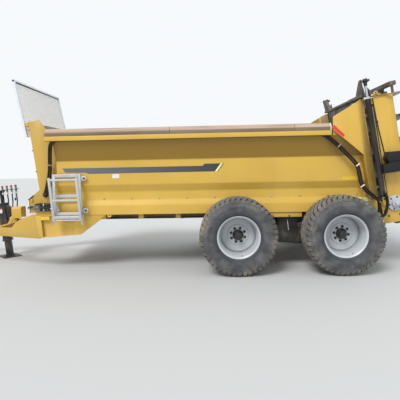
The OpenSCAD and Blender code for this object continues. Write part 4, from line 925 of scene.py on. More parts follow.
def gateCylinder(look):
    low, high, radius, pinLow = (look[key] for key in ("low", "high", "radius", "pinLow"))
    bore, slim = look["rod"] + 0.002, radius - 0.0005
    barrel = turnedUp([(0.0003, low - 0.005), (radius - 0.004, low - 0.005), (radius, low),
                       (radius, low + 0.045), (radius - 0.003, low + 0.05), (radius - 0.003, high - 0.075),
                       (slim, high - 0.07), (slim, high - 0.012), (radius - 0.006, high - 0.002),
                       (radius - 0.012, high), (bore, high), (bore, high - 0.02), (0.0003, high - 0.02)], 40)
    eye = rod((0, -0.021, pinLow), (0, 0.021, pinLow), 0.038, 32, 0.003)
    neck = block((-0.026, -0.021, pinLow), (0.026, 0.021, low + 0.002), 0.004)
    lowPort, highPort = low + 0.062, high - 0.105
    ports = [block((-0.006, -0.066, lowPort - 0.016), (0.026, -0.038, lowPort + 0.016), 0.004),
             block((0.03, -0.03, highPort - 0.018), (0.062, -0.002, highPort + 0.018), 0.004),
             rod((0.05, -0.028, highPort), (0.05, -0.046, highPort), 0.012, 6, 0.001)]
    # Steel tube from the second hose up to the top port
    route = [(0.028, -0.094, 0.15), (0.032, -0.09, 0.185), (0.05, -0.05, 0.235)]
    route += [(0.052, -0.032, up) for up in (0.3, 0.6, 1.1, highPort - 0.08)]
    route += [(0.052, -0.036, highPort - 0.03), (0.051, -0.044, highPort)]
    ports.append(tube(route, look["tube"], 2))
    pin = rod((0, -0.036, pinLow), (0, 0.036, pinLow), look["pin"], 24, 0.002)
    return moved([barrel, eye, neck, pin] + ports, cylinderPlace, slopeTurn)


def cylinderRod(look):  # the rod ends in an eye between the two plates of the gate's lug
    top, radius = look["pinHigh"], look["rod"]
    shaft = rod((0, 0, 0.22), (0, 0, top - 0.03), radius, 32, 0)
    eye = rod((-0.024, 0, top), (0.032, 0, top), look["eye"], 32, 0.003)
    neck = rod((0, 0, top - 0.075), (0, 0, top - 0.02), radius + 0.006, 28, 0.004)
    pin = rod((-0.07, 0, top), (0.062, 0, top), look["pin"], 24, 0.002)
    keeper = block((0.05, -0.034, top - 0.01), (0.058, 0.02, top + 0.016), 0.002)
    grease = rod((0.02, 0, top + 0.03), (0.026, -0.006, top + 0.044), 0.004, 8, 0.001)
    made = moved([shaft, eye, neck, pin, keeper, grease], cylinderPlace, slopeTurn)
    return made[:1], made[1:]


joined("gate_cylinder_barrels", mirrored(gateCylinder(cylinderLook)), blackPaint, smooth=32,
       stands=("gate_cylinders",))
rodShaft, rodEnd = cylinderRod(cylinderLook)
joined("gate_rod_chrome", mirrored(rodShaft), chromeSteel, "gate", stands=("gate_rods",))
joined("gate_rod_eyes", mirrored(rodEnd), blackPaint, "gate")

# Gate: ribbed sheet, bar along its top, and at each end a boxed lug that reaches out to the cylinder
gateLook = {"half": 0.925, "low": 0.14, "high": 1.64, "sheet": 0.014, "ribHalf": 0.87, "barHalf": 1.02,
            "bar": (-0.03, 0.03), "barHigh": 1.68, "lugFront": (-0.008, 0.004), "lugBack": (0.098, 0.11),
            "boxBack": 0.045}
strapLook = {"front": -0.004, "back": 0.125, "low": 1.599, "high": 1.613, "thick": 0.004,
             "sides": (-1.099, -1.004)}


def gateSteel(look):
    low, high, sheet, bar = look["low"], look["high"], look["sheet"], look["bar"]
    made = [block((0, -look["half"], low), (sheet, look["half"], high), 0.002)]
    for up in (low, 0.6, 1.1, high - 0.06):
        section = [(-0.0002, 0.002), (0.038, 0.006), (0.038, 0.054), (-0.0002, 0.058)]
        made.append(folded([(sheet + back, -look["ribHalf"], up + w) for back, w in section],
                           (0, 2 * look["ribHalf"], 0), 0.006, 0.004, (1, 0, 0)))
    made.append(block((bar[0], -look["barHalf"], high), (bar[1], look["barHalf"], look["barHigh"]), 0.004))
    return moved(made, slopeTurn)


def gateLug(look):
    boxFront, boxBack = look["lugFront"][1] - 0.001, look["boxBack"]
    front = [(-0.736, 1.679), (-0.954, 1.883), (-0.985, 1.894), (-1.04, 1.9), (-1.082, 1.893),
             (-1.098, 1.872), (-1.02, 1.64), (-0.736, 1.64)]
    back = [(-0.93, 1.64), (-0.93, 1.792), (-0.955, 1.792), (-1.06, 1.722), (-1.072, 1.64)]
    tie = [(-1.015, 1.64), (-1.015, 1.652), (-0.935, 1.652), (-0.935, 1.64)]
    side = [(-0.736, 1.68), (-0.948, 1.878), (-0.954, 1.872), (-0.744, 1.672)]
    foot = [(-0.736, 1.64), (-0.736, 1.652), (-1.012, 1.652), (-1.016, 1.64)]
    return [acrossPlate(front, *look["lugFront"]), acrossPlate(back, *look["lugBack"]),
            acrossPlate(tie, boxBack - 0.002, look["lugBack"][0] + 0.001, 0.001),
            acrossPlate(side, boxFront, boxBack, 0.001), acrossPlate(foot, boxFront, boxBack, 0.001)]


def cylinderStraps(look):
    front, back, low, high, thick = (look[key] for key in ("front", "back", "low", "high", "thick"))
    made = [slopePlate(corners(front, low, back, high), y, thick) for y in look["sides"]]
    for start in (front, back - thick):
        made.append(slopePlate(corners(start, low, start + thick, high), look["sides"][0], 0.099))
    return made


joined("gate_steel", gateSteel(gateLook), dirtySteel, "gate", stands=("gate",))
joined("gate_lugs", mirrored(gateLug(gateLook)), dirtySteel, "gate")
lugCover = acrossPlate([(-0.744, 1.656), (-0.744, 1.668), (-0.95, 1.864), (-1.016, 1.7), (-1.012, 1.656)],
                       gateLook["boxBack"] - 0.005, gateLook["boxBack"] + 0.001, 0.001)
joined("gate_lug_covers", mirrored([lugCover]), galvanized, "gate")
joined("cylinder_straps", mirrored(cylinderStraps(strapLook)), galvanized)
print("gate cylinders made")

# Hoses of the gate: two on each side, clipped along the box and tied where the photo shows it
hoseLook = {"radius": 0.0152, "apart": 0.034, "route": [  # x, y, z and how far the pair is rolled
    (-3.812, -0.985, 1.245, 0), (-3.778, -0.985, 1.375, 0), (-3.725, -0.985, 1.56, 0),
    (-3.703, -1.025, 1.72, 0), (-3.68, -1.06, 1.9, 0), (-3.642, -1.1265, 2.01, 0), (-3.6, -1.1265, 2.07, 0),
    *[(x, -1.1265, 2.1033, 0) for x in (-3.545, -3.3, -2.4, -1.0, 0.2, 0.48)],  # inside the rail
    (0.54, -1.1265, 2.083, 0), (0.6, -1.1265, 2.043, 0), (0.762, -1.112, 1.916, 0), (0.905, -1.108, 1.766, 0),
    (1.019, -1.108, 1.655, 0), (1.062, -1.108, 1.559, 0), (1.088, -1.112, 1.43, 0), (1.096, -1.12, 1.35, 0),
    (1.135, -1.129, 1.28, 0), (1.196, -1.134, 1.212, 0), (1.273, -1.132, 1.152, 30), (1.332, -1.12, 1.1, 60),
    *[(x, -1.111, z, 90)
      for x, z in ((1.355, 1.02), (1.357, 0.92), (1.368, 0.845), (1.412, 0.818), (1.452, 0.862),
                   (1.475, 0.96), (1.482, 1.072), (1.462, 1.125), (1.445, 1.165))]],
    "whiteTies": [(1.048, 1.625), (1.122, 1.31)], "oldTies": [(0.772, 1.926), (-3.705, 1.7)],
    "tieSize": (0.07, 0.07, 0.016)}


def gateHoses(look):
    first = [Vector(point[:3]) for point in look["route"]]
    second = []
    for i, point in enumerate(first):
        along = first[min(i + 1, len(first) - 1)] - first[max(i - 1, 0)]
        below, roll = along.cross(Vector((0, 1, 0))).normalized(), math.radians(look["route"][i][3])
        second.append(point - look["apart"] * (math.cos(roll) * below + math.sin(roll) * Vector((0, 1, 0))))
    return first, second


def ferrulesOf(routes):
    made = []
    for route in routes:
        for end, then in ((route[-1], route[-2]), (route[0], route[1])):
            end, then = spot(*end), spot(*then)
            inward = (then - end).normalized()
            made.append(rod(end, end + inward * 0.055, 0.0185, 20, 0.002))
            made.append(rod(end - inward * 0.014, end + inward * 0.004, 0.0165, 6, 0.002))
    return made


def tiesAt(places, look, first, second):  # a band round both hoses, square to their run
    made = []
    for x, z in places:
        near = min(range(len(first) - 1), key=lambda i: (first[i].x - x) ** 2 + (first[i].z - z) ** 2)
        along = (first[near + 1] - first[max(near - 1, 0)]).normalized()
        middle = (first[near] + second[near]) / 2
        share = (Vector((x, 0, z)) - Vector((middle.x, 0, middle.z))).dot(along)
        size = Vector(look["tieSize"])
        band = block(-size / 2, size / 2, 0.004, 2)
        turn = along.to_track_quat("Z", "Y").to_matrix().to_4x4()
        made += moved([band], Matrix.Translation(spot(*(middle + along * share))) @ turn)
    return made


firstRoute, secondRoute = gateHoses(hoseLook)
hoseTubes = [tube([spot(*point) for point in route], hoseLook["radius"], 4)
             for route in (firstRoute, secondRoute)]
grommet = [rod(spot(-3.818, -0.932, 1.228), spot(-3.818, -0.96, 1.228), 0.042, 28, 0.006),
           rod(spot(-3.806, -0.955, 1.215), spot(-3.806, -1.0, 1.25), 0.034, 24, 0.01)]
joined("gate_hose_runs", mirrored(hoseTubes), hoseRubber, smooth=60, stands=("cylinder_hoses",))
joined("hose_ferrules", mirrored(ferrulesOf((firstRoute, secondRoute)) + grommet), blackPlastic)
for name, key, material in (("hose_ties_old", "oldTies", oldTie), ("hose_ties", "whiteTies", whitePlastic)):
    joined(name, mirrored(tiesAt(hoseLook[key], hoseLook, firstRoute, secondRoute)), material)
print("gate hoses made")

# Rear wings: folded top edge, lifting eye, wire with its clip, bolts of the lower plate
edgeStrip = [(0.1102, 1.608), (0.47, 1.612), (0.47, 1.62), (0.33, 1.627), (0.1102, 1.642)]
edgeFold = [(0.106, 1.638), (0.33, 1.623), (0.474, 1.615), (0.474, 1.62), (0.33, 1.628), (0.106, 1.643)]
wingEdges = [slopePlate(edgeStrip, -1.0, 0.0098, 0.0015), slopePlate(edgeFold, -1.03, 0.032, 0.0015)]
joined("wing_top_edges", mirrored(wingEdges), yellowPaint)


def flatRing(outer, inner, half, crown, steps):  # a ring with a ridge round its outside and its hole
    section = [(outer, -half), (outer + crown, 0), (outer, half), (inner, half), (inner - 0.002, 0),
               (inner, -half)]
    return spun([(r, y, 0) for r, y in section + section[:1]], steps)


eyeParts = [flatRing(0.034, 0.016, 0.006, 0.002, 32),
            block((-0.034, -0.006, -0.075), (0.034, 0.006, -0.014), 0.002)]
joined("lifting_eyes", mirrored(moved(eyeParts, Matrix.Translation((0.205, -0.996, 1.665)), slopeTurn)),
       yellowPaint)
wire = tube([onSlope(*point) for point in (
    (0.145, -1.012, 1.625), (0.145, -1.012, 1.574), (0.148, -1.012, 1.42), (0.154, -1.012, 1.239),
    (0.168, -1.013, 1.05),
    (0.185, -1.013, 0.88), (0.197, -1.012, 0.7))], 0.008, 2)
clipTurn = Matrix.Translation((0.154, -1.012, 1.239)) @ Matrix.Diagonal((0.55, 1, 1.25, 1))
clip = moved([flatRing(0.03, 0.02, 0.007, 0.003, 24)], clipTurn, slopeTurn)
joined("wing_wires", mirrored([wire]), blackPlastic)
joined("wire_clips", mirrored(clip), dirtySteel)
boltRow("wing_bolts",
        [onSlope(u, -1.0001, w) for u, w in ((0.118, -0.209), (0.286, -0.21), (0.06, -0.12))],
        0.014, boltDark)
boltRow("bracket_bolts", [onSlope(0.058, -1.0861, 0.08)], 0.013, boltDark)

# Lamp pods: two housings one above the other, with red lenses looking back
lampLook = {"out": -1.18, "inner": -1.0003, "wide": 0.179, "back": 0.43, "lenses": (0.543, 0.686)}


def lampPod(look):
    lower = [(0.096, 0.596), (0.078, 0.466), (0.3, 0.457), (0.43, 0.48), (0.43, 0.606), (0.3, 0.612)]
    upper = [(0.197, 0.773), (0.148, 0.682), (0.172, 0.626), (0.3, 0.622), (0.43, 0.622), (0.43, 0.748),
             (0.351, 0.756)]
    made = [slopePlate(outline, look["out"], look["wide"], 0.01) for outline in (lower, upper)]
    made.append(slopePlate(corners(0.18, 0.598, 0.415, 0.632), look["out"] + 0.012, 0.16, 0.004))
    bezel = [(0.0, 0.048), (0.018, 0.05), (0.022, 0.055), (0.0, 0.06), (0.0, 0.048)]
    lens = [(0.0, 0.0495), (0.016, 0.049), (0.0225, 0.04), (0.0245, 0.02), (0.025, 0.0003)]
    lenses = []
    for up in look["lenses"]:
        place = Matrix.Translation((look["back"], (look["out"] + look["inner"]) / 2, up))
        for section, kept in ((bezel, made), (lens, lenses)):
            piece = spun([(x, 0, r) for x, r in section], 32, axis=(1, 0, 0))
            kept += moved([piece], place, slopeTurn)
    return made, lenses


podParts, podLenses = lampPod(lampLook)
joined("lamp_pods", mirrored(podParts), blackPlastic, stands=("rear_lamps",))
joined("lamp_lenses", mirrored(podLenses), redLens)
bracketOutline = [(0.08, 0.64), (0.1, 0.59), (0.185, 0.6), (0.2, 0.649), (0.206, 0.735), (0.16, 0.72)]
joined("lamp_brackets", mirrored([slopePlate(bracketOutline, -1.01, 0.0095, 0.002)]), yellowPaint)
print("wings and lamps made")

# Drive of the apron: bolted flange and hub on the near side
driveLook = {"middle": spot(1.64, 0, 1.02), "bolts": 6, "boltCircle": 0.094, "face": -1.03,
             "cover": [(-1.0002, 0.1178), (-1.026, 0.118), (-1.03, 0.115), (-1.032, 0.07), (-1.034, 0.064),
                       (-1.066, 0.06), (-1.07, 0.056), (-1.0705, 0.033), (-1.0705, 0.0301)],
             "shaftEnd": [(-1.099, 0.03), (-1.109, 0.029), (-1.1095, 0.015), (-1.105, 0.013),
                          (-1.105, 0.0003)]}
driveCover = turned(driveLook["cover"], 48, driveLook["middle"])
refined("apron_drive", silverPaint, 0.003)
joined("drive_cover", [driveCover], silverPaint)
boltTurns = [math.tau * (i + 0.3) / driveLook["bolts"] for i in range(driveLook["bolts"])]
boltRow("drive_cover_bolts", [driveLook["middle"] + Vector((
    driveLook["boltCircle"] * math.cos(turn), driveLook["face"], driveLook["boltCircle"] * math.sin(turn)))
    for turn in boltTurns], 0.013, boltDark, both=False)
joined("drive_shaft_end", [turned(driveLook["shaftEnd"], 28, driveLook["middle"])], shaftSteel)
print("apron drive made")

zincSheet = plainMaterial("zincSheet", (0.8, 0.83, 0.88), 0.42, 0.1, spread=0.9)
dustyMesh = plainMaterial("dustyMesh", (0.96, 0.94, 0.9), 0.6, 0.05, spread=0.84)
capRed = plainMaterial("capRed", (0.42, 0.06, 0.04), 0.45)

# Front screen: expanded steel in a folded frame with a cap
screenLook = {"foot": (-4.095, 2.3103), "lean": 10, "lap": 0.167, "half": 0.927, "length": 0.916, "bar": 0.04,
              "cap": 0.034, "slot": 0.02, "strand": 0.003, "depth": 0.0065, "long": 0.022, "short": 0.014,
              "boltAcross": (-0.905, 0.905), "boltUp": (0.215, 0.335)}
screenTurn = (Matrix.Translation(spot(screenLook["foot"][0], 0, screenLook["foot"][1]))
              @ Matrix.Rotation(-math.radians(screenLook["lean"]), 4, "Y")
              @ Matrix.Translation((0, 0, -screenLook["lap"])))


def screenMesh(look):  # zigzag strands, every other one turned over
    reach = look["half"] - look["bar"] + 0.01
    count = int(2 * reach / look["long"])
    strand = line([(-0.01, -reach + look["long"] * i, look["short"] / 2 * (-1) ** i)
                   for i in range(count + 1)])
    bpy.ops.mesh.extrude_region_move(TRANSFORM_OT_translate={"value": (look["depth"], 0, 0)})
    outward()
    modified(strand, "SOLIDIFY", thickness=look["strand"], offset=0)
    rows = int((look["length"] - look["cap"] - look["slot"] + 0.004) / look["short"])
    made = []
    for row in range(rows):
        place = Matrix.Translation((0, 0, 0.008 + look["short"] * row))
        turn = Matrix.Rotation(math.pi, 4, "X") if row % 2 else Matrix.Identity(4)
        made.append(copied(strand, screenTurn @ place @ turn))
    bpy.data.objects.remove(strand)
    return made


def screenFrame(look):
    half, bar, length = look["half"], look["bar"], look["length"]
    under = length - look["cap"]
    side = folded([(-0.001, half - bar, 0), (-0.001, half - 0.001, 0), (-bar, half - 0.001, 0),
                   (-bar, half - 0.014, 0)], (0, 0, under), 0.003, 0.003, (0, 1, 0))
    cap = folded([(-bar, 0, under), (-bar, 0, length - 0.0005), (-0.0005, 0, length - 0.0005),
                  (-0.0005, 0, under)],
                 (0, 2 * half, 0), 0.004, 0.003, (0, 0, 1))
    moved([cap], Matrix.Translation((0, -half, 0)))
    rail = block((-bar + 0.004, -half + bar, under - 0.012), (-0.014, half - bar, under + 0.004), 0.002)
    # The black strip below the cap is painted shadow, standing for the shaded gap there
    slot = block((-0.012, -half + 0.004, under - look["slot"]), (-0.005, half - 0.004, under + 0.004), 0.001)
    made = moved([side, copied(side, Matrix.Scale(-1, 4, (0, 1, 0))), cap, rail, slot], screenTurn)
    return made[:-1], made[-1:]


screenParts, screenGapShadow = screenFrame(screenLook)
joined("screen_mesh", screenMesh(screenLook), dustyMesh, smooth=20, stands=("front_screen",))
joined("screen_frame", screenParts, zincSheet)
joined("screen_gap_shadow", screenGapShadow, blackPlastic)
screenBolts = boltsAt([screenTurn @ Vector((-0.0012, across, up)) for across in screenLook["boltAcross"]
                       for up in screenLook["boltUp"]], slopeBack, 0.009)
joined("screen_bolts", screenBolts, boltZinc)
print("screen made")

# Ladder: a fixed frame on four brackets and a folding section hooked on its foot
ladderLook = {"left": (-3.656, -3.61), "right": (-3.25, -3.204), "front": -1.05, "back": -1.018, "low": 0.862,
              "high": 1.552, "treads": (1.5, 1.182, 0.9), "tread": 0.05, "wall": 0.0035,
              "ears": ((-3.122, 1.48, -0.985), (-3.112, 0.975, -0.965)),
              "stays": ((1.47, -0.985), (0.965, -0.965))}


def tubeBlock(low, high, wall, way):  # a square tube with one open end
    return hollowEnd(block(low, high, 0.005, 2), way, wall, 0.05)


def ladderFrame(look):
    front, back, left, right = (look[key] for key in ("front", "back", "left", "right"))
    made = [tubeBlock(spot(x[0], front, look["low"]), spot(x[1], back, look["high"]),
                      look["wall"], (0, 0, -1))
            for x in (left, right)]
    for z in look["treads"]:
        lip = [(back, z), (front + 0.001, z), (front + 0.001, z + look["tread"]), (back, z + look["tread"])]
        made.append(folded([spot(left[1] - 0.01, y, w) for y, w in lip],
                           (right[0] - left[1] + 0.02, 0, 0), 0.005, 0.004, (0, -1, 0)))
    for outer, z, wall in look["ears"]:
        ear = [(-3.206, z - 0.036), (outer - 0.02, z - 0.036), (outer - 0.004, z - 0.022), (outer, z),
               (outer - 0.004, z + 0.022), (outer - 0.02, z + 0.036), (-3.206, z + 0.036)]
        made.append(sidePlate(ear, -1.032, 0.008))
        made.append(rod(spot(outer - 0.036, -1.026, z), spot(outer - 0.036, wall, z), 0.016, 20, 0))
    for z, wall in look["stays"]:
        made.append(rod(spot(-3.633, -1.02, z), spot(-3.633, wall, z), 0.016, 20, 0))
    gusset = [(-3.612, 1.075), (-3.598, 1.06), (-3.566, 0.975), (-3.59, 0.95), (-3.612, 0.945)]
    made.append(sidePlate(gusset, -1.03, 0.006, 0.0015))
    # Hooks under the hinge: a slanted strap and an upright cheek on each side
    strap = [(0, 0.872), (0.026, 0.872), (0.054, 0.776), (0.052, 0.747), (0.04, 0.752), (0.022, 0.8)]
    cheek = [(-1.052, 0.93), (-1.092, 0.85), (-1.092, 0.812), (-1.07, 0.754), (-1.052, 0.754), (-1.022, 0.88)]
    made += [sidePlate([(x + a, z) for a, z in strap], -1.06, 0.006, 0.0015) for x in (-3.668, -3.252)]
    made += [crossPlate(cheek, x, 0.007, 0.0015) for x in (-3.676, -3.19)]
    return made


joined("ladder_frame", ladderFrame(ladderLook), galvanized, stands=("ladder_fixed",))
boltRow("ladder_bolts", [spot(-3.158, -1.0322, 1.48), spot(-3.148, -1.0322, 0.975)], 0.017,
        boltDark, both=False)
foldLook = {"hinge": (-1.078, 0.83), "lean": 11, "rails": (-3.645, -3.22), "width": 0.04, "depth": 0.026,
            "length": 0.684, "rungs": ((0.026, 0.042), (0.308, 0.032), (0.634, 0.03)), "wall": 0.003}


def foldingFrame(look):
    half, deep = look["width"] / 2, look["depth"] / 2
    left, right = (pivotX + x for x in look["rails"])
    made = [tubeBlock((x - half, -deep, -0.014), (x + half, deep, look["length"]), look["wall"], (0, 0, 1))
            for x in (left, right)]
    for up, high in look["rungs"]:
        made.append(block((left + half - 0.006, -deep + 0.001, up),
                          (right - half + 0.006, deep - 0.001, up + high), 0.006, 3))
    made.append(rod((left - 0.03, 0, 0), (right + 0.034, 0, 0), 0.008, 18, 0.002))
    latch = [(-0.004, 0.47), (0.016, 0.47), (0.016, 0.52), (0.004, 0.54), (-0.004, 0.52)]
    made.append(plate([(left + x, deep, up) for x, up in latch], (0, 0.03, 0), 0.002))
    return moved(made, Matrix.Translation((0, *look["hinge"]))
                 @ Matrix.Rotation(math.radians(look["lean"]), 4, "X"))


joined("ladder_fold_frame", foldingFrame(foldLook), galvanized, "ladder_folding", stands=("ladder_folding",))
print("ladder made")

# Idler bearing, its take-up screw with a spring, and the edge of the front plates
bearingLook = {"x": -3.955, "z": 1.03, "wall": -0.9325, "out": -0.972, "screwLine": -0.952,
               "nuts": (-4.07, -4.048, -3.745), "coil": (0.024, 0.034), "coilFrom": -3.896,
               "coilStep": 0.0012, "coilKnots": 100, "coilTurn": 14}


def bearingSet(look):
    x, z, wall, out, screwLine = (look[key] for key in ("x", "z", "wall", "out", "screwLine"))
    body = turned([(wall, 0.058), (out + 0.016, 0.06), (out + 0.01, 0.056), (out + 0.008, 0.04),
                   (out, 0.036), (out, 0.026), (out + 0.006, 0.024), (out + 0.006, 0.0002)], 40,
                  spot(x, 0, z))
    screw = rod(spot(-4.108, screwLine, z), spot(-3.752, screwLine, z), 0.011, 20, 0.001)
    deep, tall = look["coil"]
    coil = []
    for i in range(look["coilKnots"]):
        turn = i * math.tau / look["coilTurn"]
        coil.append(spot(look["coilFrom"] + look["coilStep"] * i, -0.96 - deep * math.cos(turn),
                         z + tall * math.sin(turn)))
    made = [body, screw, tube(coil, 0.0055, 1)]
    made += [block(spot(-3.93, -0.972, z + up - 0.004), spot(-3.756, -0.945, z + up + 0.004), 0.002)
             for up in (-0.06, 0.06)]
    made += [block(spot(start, -0.976, z - 0.058), spot(end, -0.934, z + 0.058), 0.002)
             for start, end in ((-3.902, -3.892), (-3.772, -3.758))]
    made += [rod(spot(nut, screwLine, z), spot(nut + 0.015, screwLine, z), 0.0195, 6, 0.002)
             for nut in look["nuts"]]
    core = turned([(out - 0.001, 0.0002), (out - 0.001, 0.02), (out + 0.008, 0.024)], 28, spot(x, 0, z))
    ring = [(-0.978, -0.04), (-0.978, 0.04), (-0.966, 0.064), (-0.936, 0.064), (-0.936, -0.064),
            (-0.966, -0.064)]
    return made, [core], [crossPlate([(y, z + up) for y, up in ring], -3.855, 0.016, 0.004)]


bearingParts, bearingCores, springRings = bearingSet(bearingLook)
refined("idler_shaft", shaftSteel, 0.003)
joined("idler_bearings", mirrored(bearingParts), hubBlack)
joined("bearing_caps", mirrored(bearingCores), shaftSteel)
joined("spring_rings", mirrored(springRings), galvanized)
edgeFlange = sidePlate([(-4.1105, 1.148), (-4.092, 1.152), (-4.086, 0.952), (-4.1045, 0.944)], -0.9378,
                       -0.007, 0.0015)
joined("corner_flanges", mirrored([edgeFlange]), zincSheet)
# A black strip along the corner plate's sloping top edge
edgeDarkStrip = sidePlate([(-4.1085, 1.152), (-4.018, 1.2245), (-4.01, 1.2145), (-4.0995, 1.142)], -0.9378, -0.01)
joined("corner_dark_strips", mirrored([edgeDarkStrip]), hoseRubber)
lugDisc = turned([(-0.938, 0.0245), (-0.95, 0.024), (-0.952, 0.022), (-0.952, 0.011), (-0.95, 0.009),
                  (-0.94, 0.0085), (-0.94, 0.0002)], 32, spot(-4.052, 0, 1.14))
joined("corner_lugs", mirrored([lugDisc]), yellowPaint)
cornerPlaces = [(-4.089, 0.966), (-4.03, 2.25), (-3.99, 1.93), (-3.948, 1.6)]
boltRow("corner_bolts", [spot(x, -0.938, z) for x, z in cornerPlaces], 0.008, boltDark)
frameLip = sidePlate([(-3.996, 0.888), (-3.906, 0.888), (-3.885, 0.551), (-3.9445, 0.54)], -0.9551,
                     -0.006, 0.003)
joined("front_frame_lips", mirrored([frameLip]), yellowPaint)
eyePlate = turned([(0, 0.03), (-0.012, 0.03), (-0.014, 0.028), (-0.014, 0.013), (-0.012, 0.011), (0, 0.011),
                   (0, 0.03)], 36, spot(-2.8, -0.94, 0.878))
eyeOutline = [(-2.85, 0.905), (-2.745, 0.905), (-2.76, 0.866), (-2.8, 0.846), (-2.838, 0.866)]
joined("lashing_eyes", mirrored([eyePlate, sidePlate(eyeOutline, -0.93, -0.01, 0.003)]), yellowPaint)
print("front frame details made")

# Parking jack: label, mounting bracket, lever and bolts on the refined body
jackLook = {"place": (-5.005, 0.125), "lean": 5, "half": 0.064, "label": (-0.052, 0.83, 0.008, 0.925),
            "bandLow": 0.898}
jackTurn = (Matrix.Translation(spot(*jackLook["place"], 0))
            @ Matrix.Rotation(-math.radians(jackLook["lean"]), 4, "Y"))


def jackDetails(look):
    half, (left, low, right, high) = look["half"], look["label"]
    made = [block((-half - 0.006, -half - 0.006, 0.985), (half + 0.006, half + 0.006, 1.0108), 0.004),
            block((-half - 0.008, -half - 0.008, 0.3), (half + 0.008, half + 0.008, 0.335), 0.004)]
    bracket = [(-0.004, 0.735), (0.085, 0.735), (0.1, 0.79), (0.092, 0.905), (0.03, 0.965), (-0.004, 0.965)]
    made.append(plate([(half + x, -0.05, up) for x, up in bracket], (0, 0.1, 0), 0.006))
    made.append(rod((-half - 0.0375, 0.108, 0.69), (-half - 0.0375, 0.19, 0.69), 0.013, 16, 0.004))
    moved(made, jackTurn)
    lever = [(-4.94, 0.06, 0.762), (-4.9, 0.056, 0.752), (-4.85, 0.056, 0.735), (-4.79, 0.056, 0.712)]
    made.append(tube([spot(*point) for point in lever], 0.009, 2))
    bolts = boltsAt([jackTurn @ Vector((half + 0.06, -0.0502, up)) for up in (0.78, 0.88)], (0, -1, 0), 0.012)
    films = [patch([(x, -half - lift, z) for x, z in corners(left, foot, right, high)], (0, -1, 0))
             for foot, lift in ((low, 0.0002), (look["bandLow"], 0.0011))]
    return made, bolts, *moved(films, jackTurn)


refined("parking_jack", blackPaint, 0.004)
jackParts, jackBolts, jackLabel, jackBand = jackDetails(jackLook)
joined("jack_fittings", jackParts, blackPaint)
joined("jack_bolts", jackBolts, boltDark)
joined("jack_label", [jackLabel], whitePlastic)
joined("jack_label_band", [jackBand], capRed)

# Hose rack: plate on its post, quick couplings with caps, and the hoses down to the drawbar
rackLook = {"low": 1.0112, "plate": 1.2405, "reach": (-0.06, 0.34), "half": 0.04, "pitch": 0.085,
            "first": 0.04, "count": 4, "radius": 0.011, "foot": -4.918, "footPitch": 0.024}


def rackParts(look):
    top, (front, back), half = look["plate"], look["reach"], look["half"]
    post = block((-0.02, -0.02, look["low"]), (0.02, 0.02, top), 0.004)
    deck = plate([(x, y, top) for x, y in corners(front, -half, back, half)], (0, 0, 0.01), 0.003)
    brace = plate([(0.018, -0.004, top), (0.09, -0.004, top), (0.018, -0.004, top - 0.08)],
                  (0, 0.008, 0), 0.001)
    patterns = {"steel": turnedUp([
        (0.0002, -0.04), (0.014, -0.04), (0.0155, -0.036), (0.0155, 0.012), (0.019, 0.014), (0.019, 0.024),
        (0.0165, 0.027), (0.0165, 0.044), (0.0185, 0.046), (0.0185, 0.062), (0.014, 0.066),
        (0.0002, 0.066)], 24)}
    patterns["caps"] = turnedUp([(0.0002, 0.06), (0.015, 0.061), (0.0195, 0.066), (0.02, 0.076),
                                 (0.015, 0.086), (0.0002, 0.089)], 24)
    patterns["rings"] = turnedUp([(0.012, -0.075), (0.0185, -0.073), (0.019, -0.045), (0.012, -0.041),
                                  (0.012, -0.075)], 24)
    kept = {"black": moved([post, deck, brace], jackTurn)}
    for key, pattern in patterns.items():
        places = [Matrix.Translation((look["first"] + look["pitch"] * i, 0, top))
                  for i in range(look["count"])]
        kept[key] = moved([copied(pattern, place) for place in places], jackTurn)
        bpy.data.objects.remove(pattern)
    return kept


def rackHoses(look):
    made = []
    lean, high = math.radians(jackLook["lean"]), look["plate"] - 0.045
    top = high * math.cos(lean)
    for number in range(look["count"]):
        x = jackLook["place"][0] + look["first"] + look["pitch"] * number - high * math.sin(lean)
        foot = look["foot"] + look["footPitch"] * number
        route = [(x, 0.125, top + 0.012), (x - 0.004, 0.13, top - 0.04), (x - 0.016, 0.17, top - 0.11),
                 (x - 0.036, 0.212, top - 0.19), (x - 0.062, 0.224, top - 0.3),
                 ((x + foot) / 2 - 0.045, 0.226, top - 0.4), (foot - 0.012, 0.217, 0.745),
                 (foot, 0.209, 0.69), (foot, 0.209, 0.648)]
        made.append(tube([spot(*point) for point in route], look["radius"], 3))
    return made


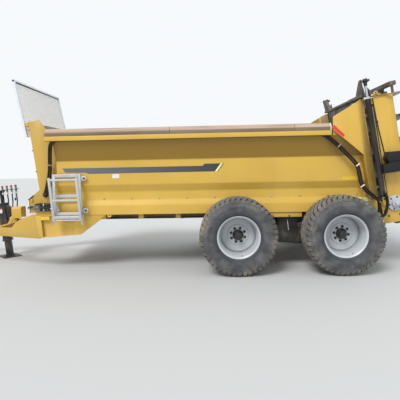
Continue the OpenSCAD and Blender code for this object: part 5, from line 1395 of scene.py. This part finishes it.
rack = rackParts(rackLook)
joined("rack_frame", rack["black"], blackPaint)
joined("rack_hoses", rackHoses(rackLook), hoseRubber, smooth=60, stands=("hose_rack",))
joined("rack_couplings", rack["steel"], shaftSteel)
joined("rack_collars", rack["rings"], whitePlastic)
joined("rack_caps", rack["caps"], capRed)
danglerRoute = [(-4.826, 0.1, 1.245), (-4.828, 0.092, 1.215), (-4.826, 0.09, 1.16), (-4.825, 0.09, 1.1)]
danglerWire = tube([spot(*point) for point in danglerRoute], 0.0028, 1)
danglerPlug = rod(spot(-4.825, 0.09, 1.104), spot(-4.824, 0.09, 1.056), 0.0165, 18, 0.004, 0.013)
joined("spare_plug", [danglerWire, danglerPlug], blackPlastic)

# Bent sheet over the shaft's end, on the drawbar's crossmember
hoodFolds = [(-0.095, 0.748), (-0.095, 0.93), (-0.07, 0.952), (0.07, 0.952), (0.095, 0.93), (0.095, 0.748)]
shieldHood = folded([spot(-4.82, y, z) for y, z in hoodFolds], (0.178, 0, 0), 0.012, 0.004, (0, 0, 1))
footOutline = [(-4.82, 0.8), (-4.905, 0.65), (-4.9, 0.6), (-4.88, 0.6), (-4.77, 0.752), (-4.79, 0.8)]
shieldFeet = [sidePlate(footOutline, y, 0.006, 0.0015) for y in (-0.0925, 0.0865)]
joined("shaft_shield", [shieldHood] + shieldFeet, yellowPaint)
print("jack, rack and shield made")

# The rest of the carried-over pieces, with their edges rounded
innerWidths = {"beater_left": 0.0025, "beater_right": 0.0025, "apron": 0.002, "floor": 0.002,
               "driveline": 0.003}
for node, width in innerWidths.items():
    refined(node, finishOf[node], width, 1)
print("beaters, apron and floor softened")

# Grease hose up the pivot's housing
greaseLook = {"x": 0.03, "low": 0.6, "high": 0.762, "radius": 0.0045}


def greaseLine(look):
    x, low, high, face = look["x"], look["low"], look["high"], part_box("bogie_pivots")[0].y
    route = [(x + 0.014, face - 0.001, low), (x + 0.004, face - 0.006, low + 0.04),
             (x, face - 0.006, high - 0.04), (x - 0.006, face + 0.004, high)]
    return tube([spot(*point) for point in route], look["radius"], 2)


joined("grease_lines", mirrored([greaseLine(greaseLook)]), whitePlastic)
print("grease lines on")
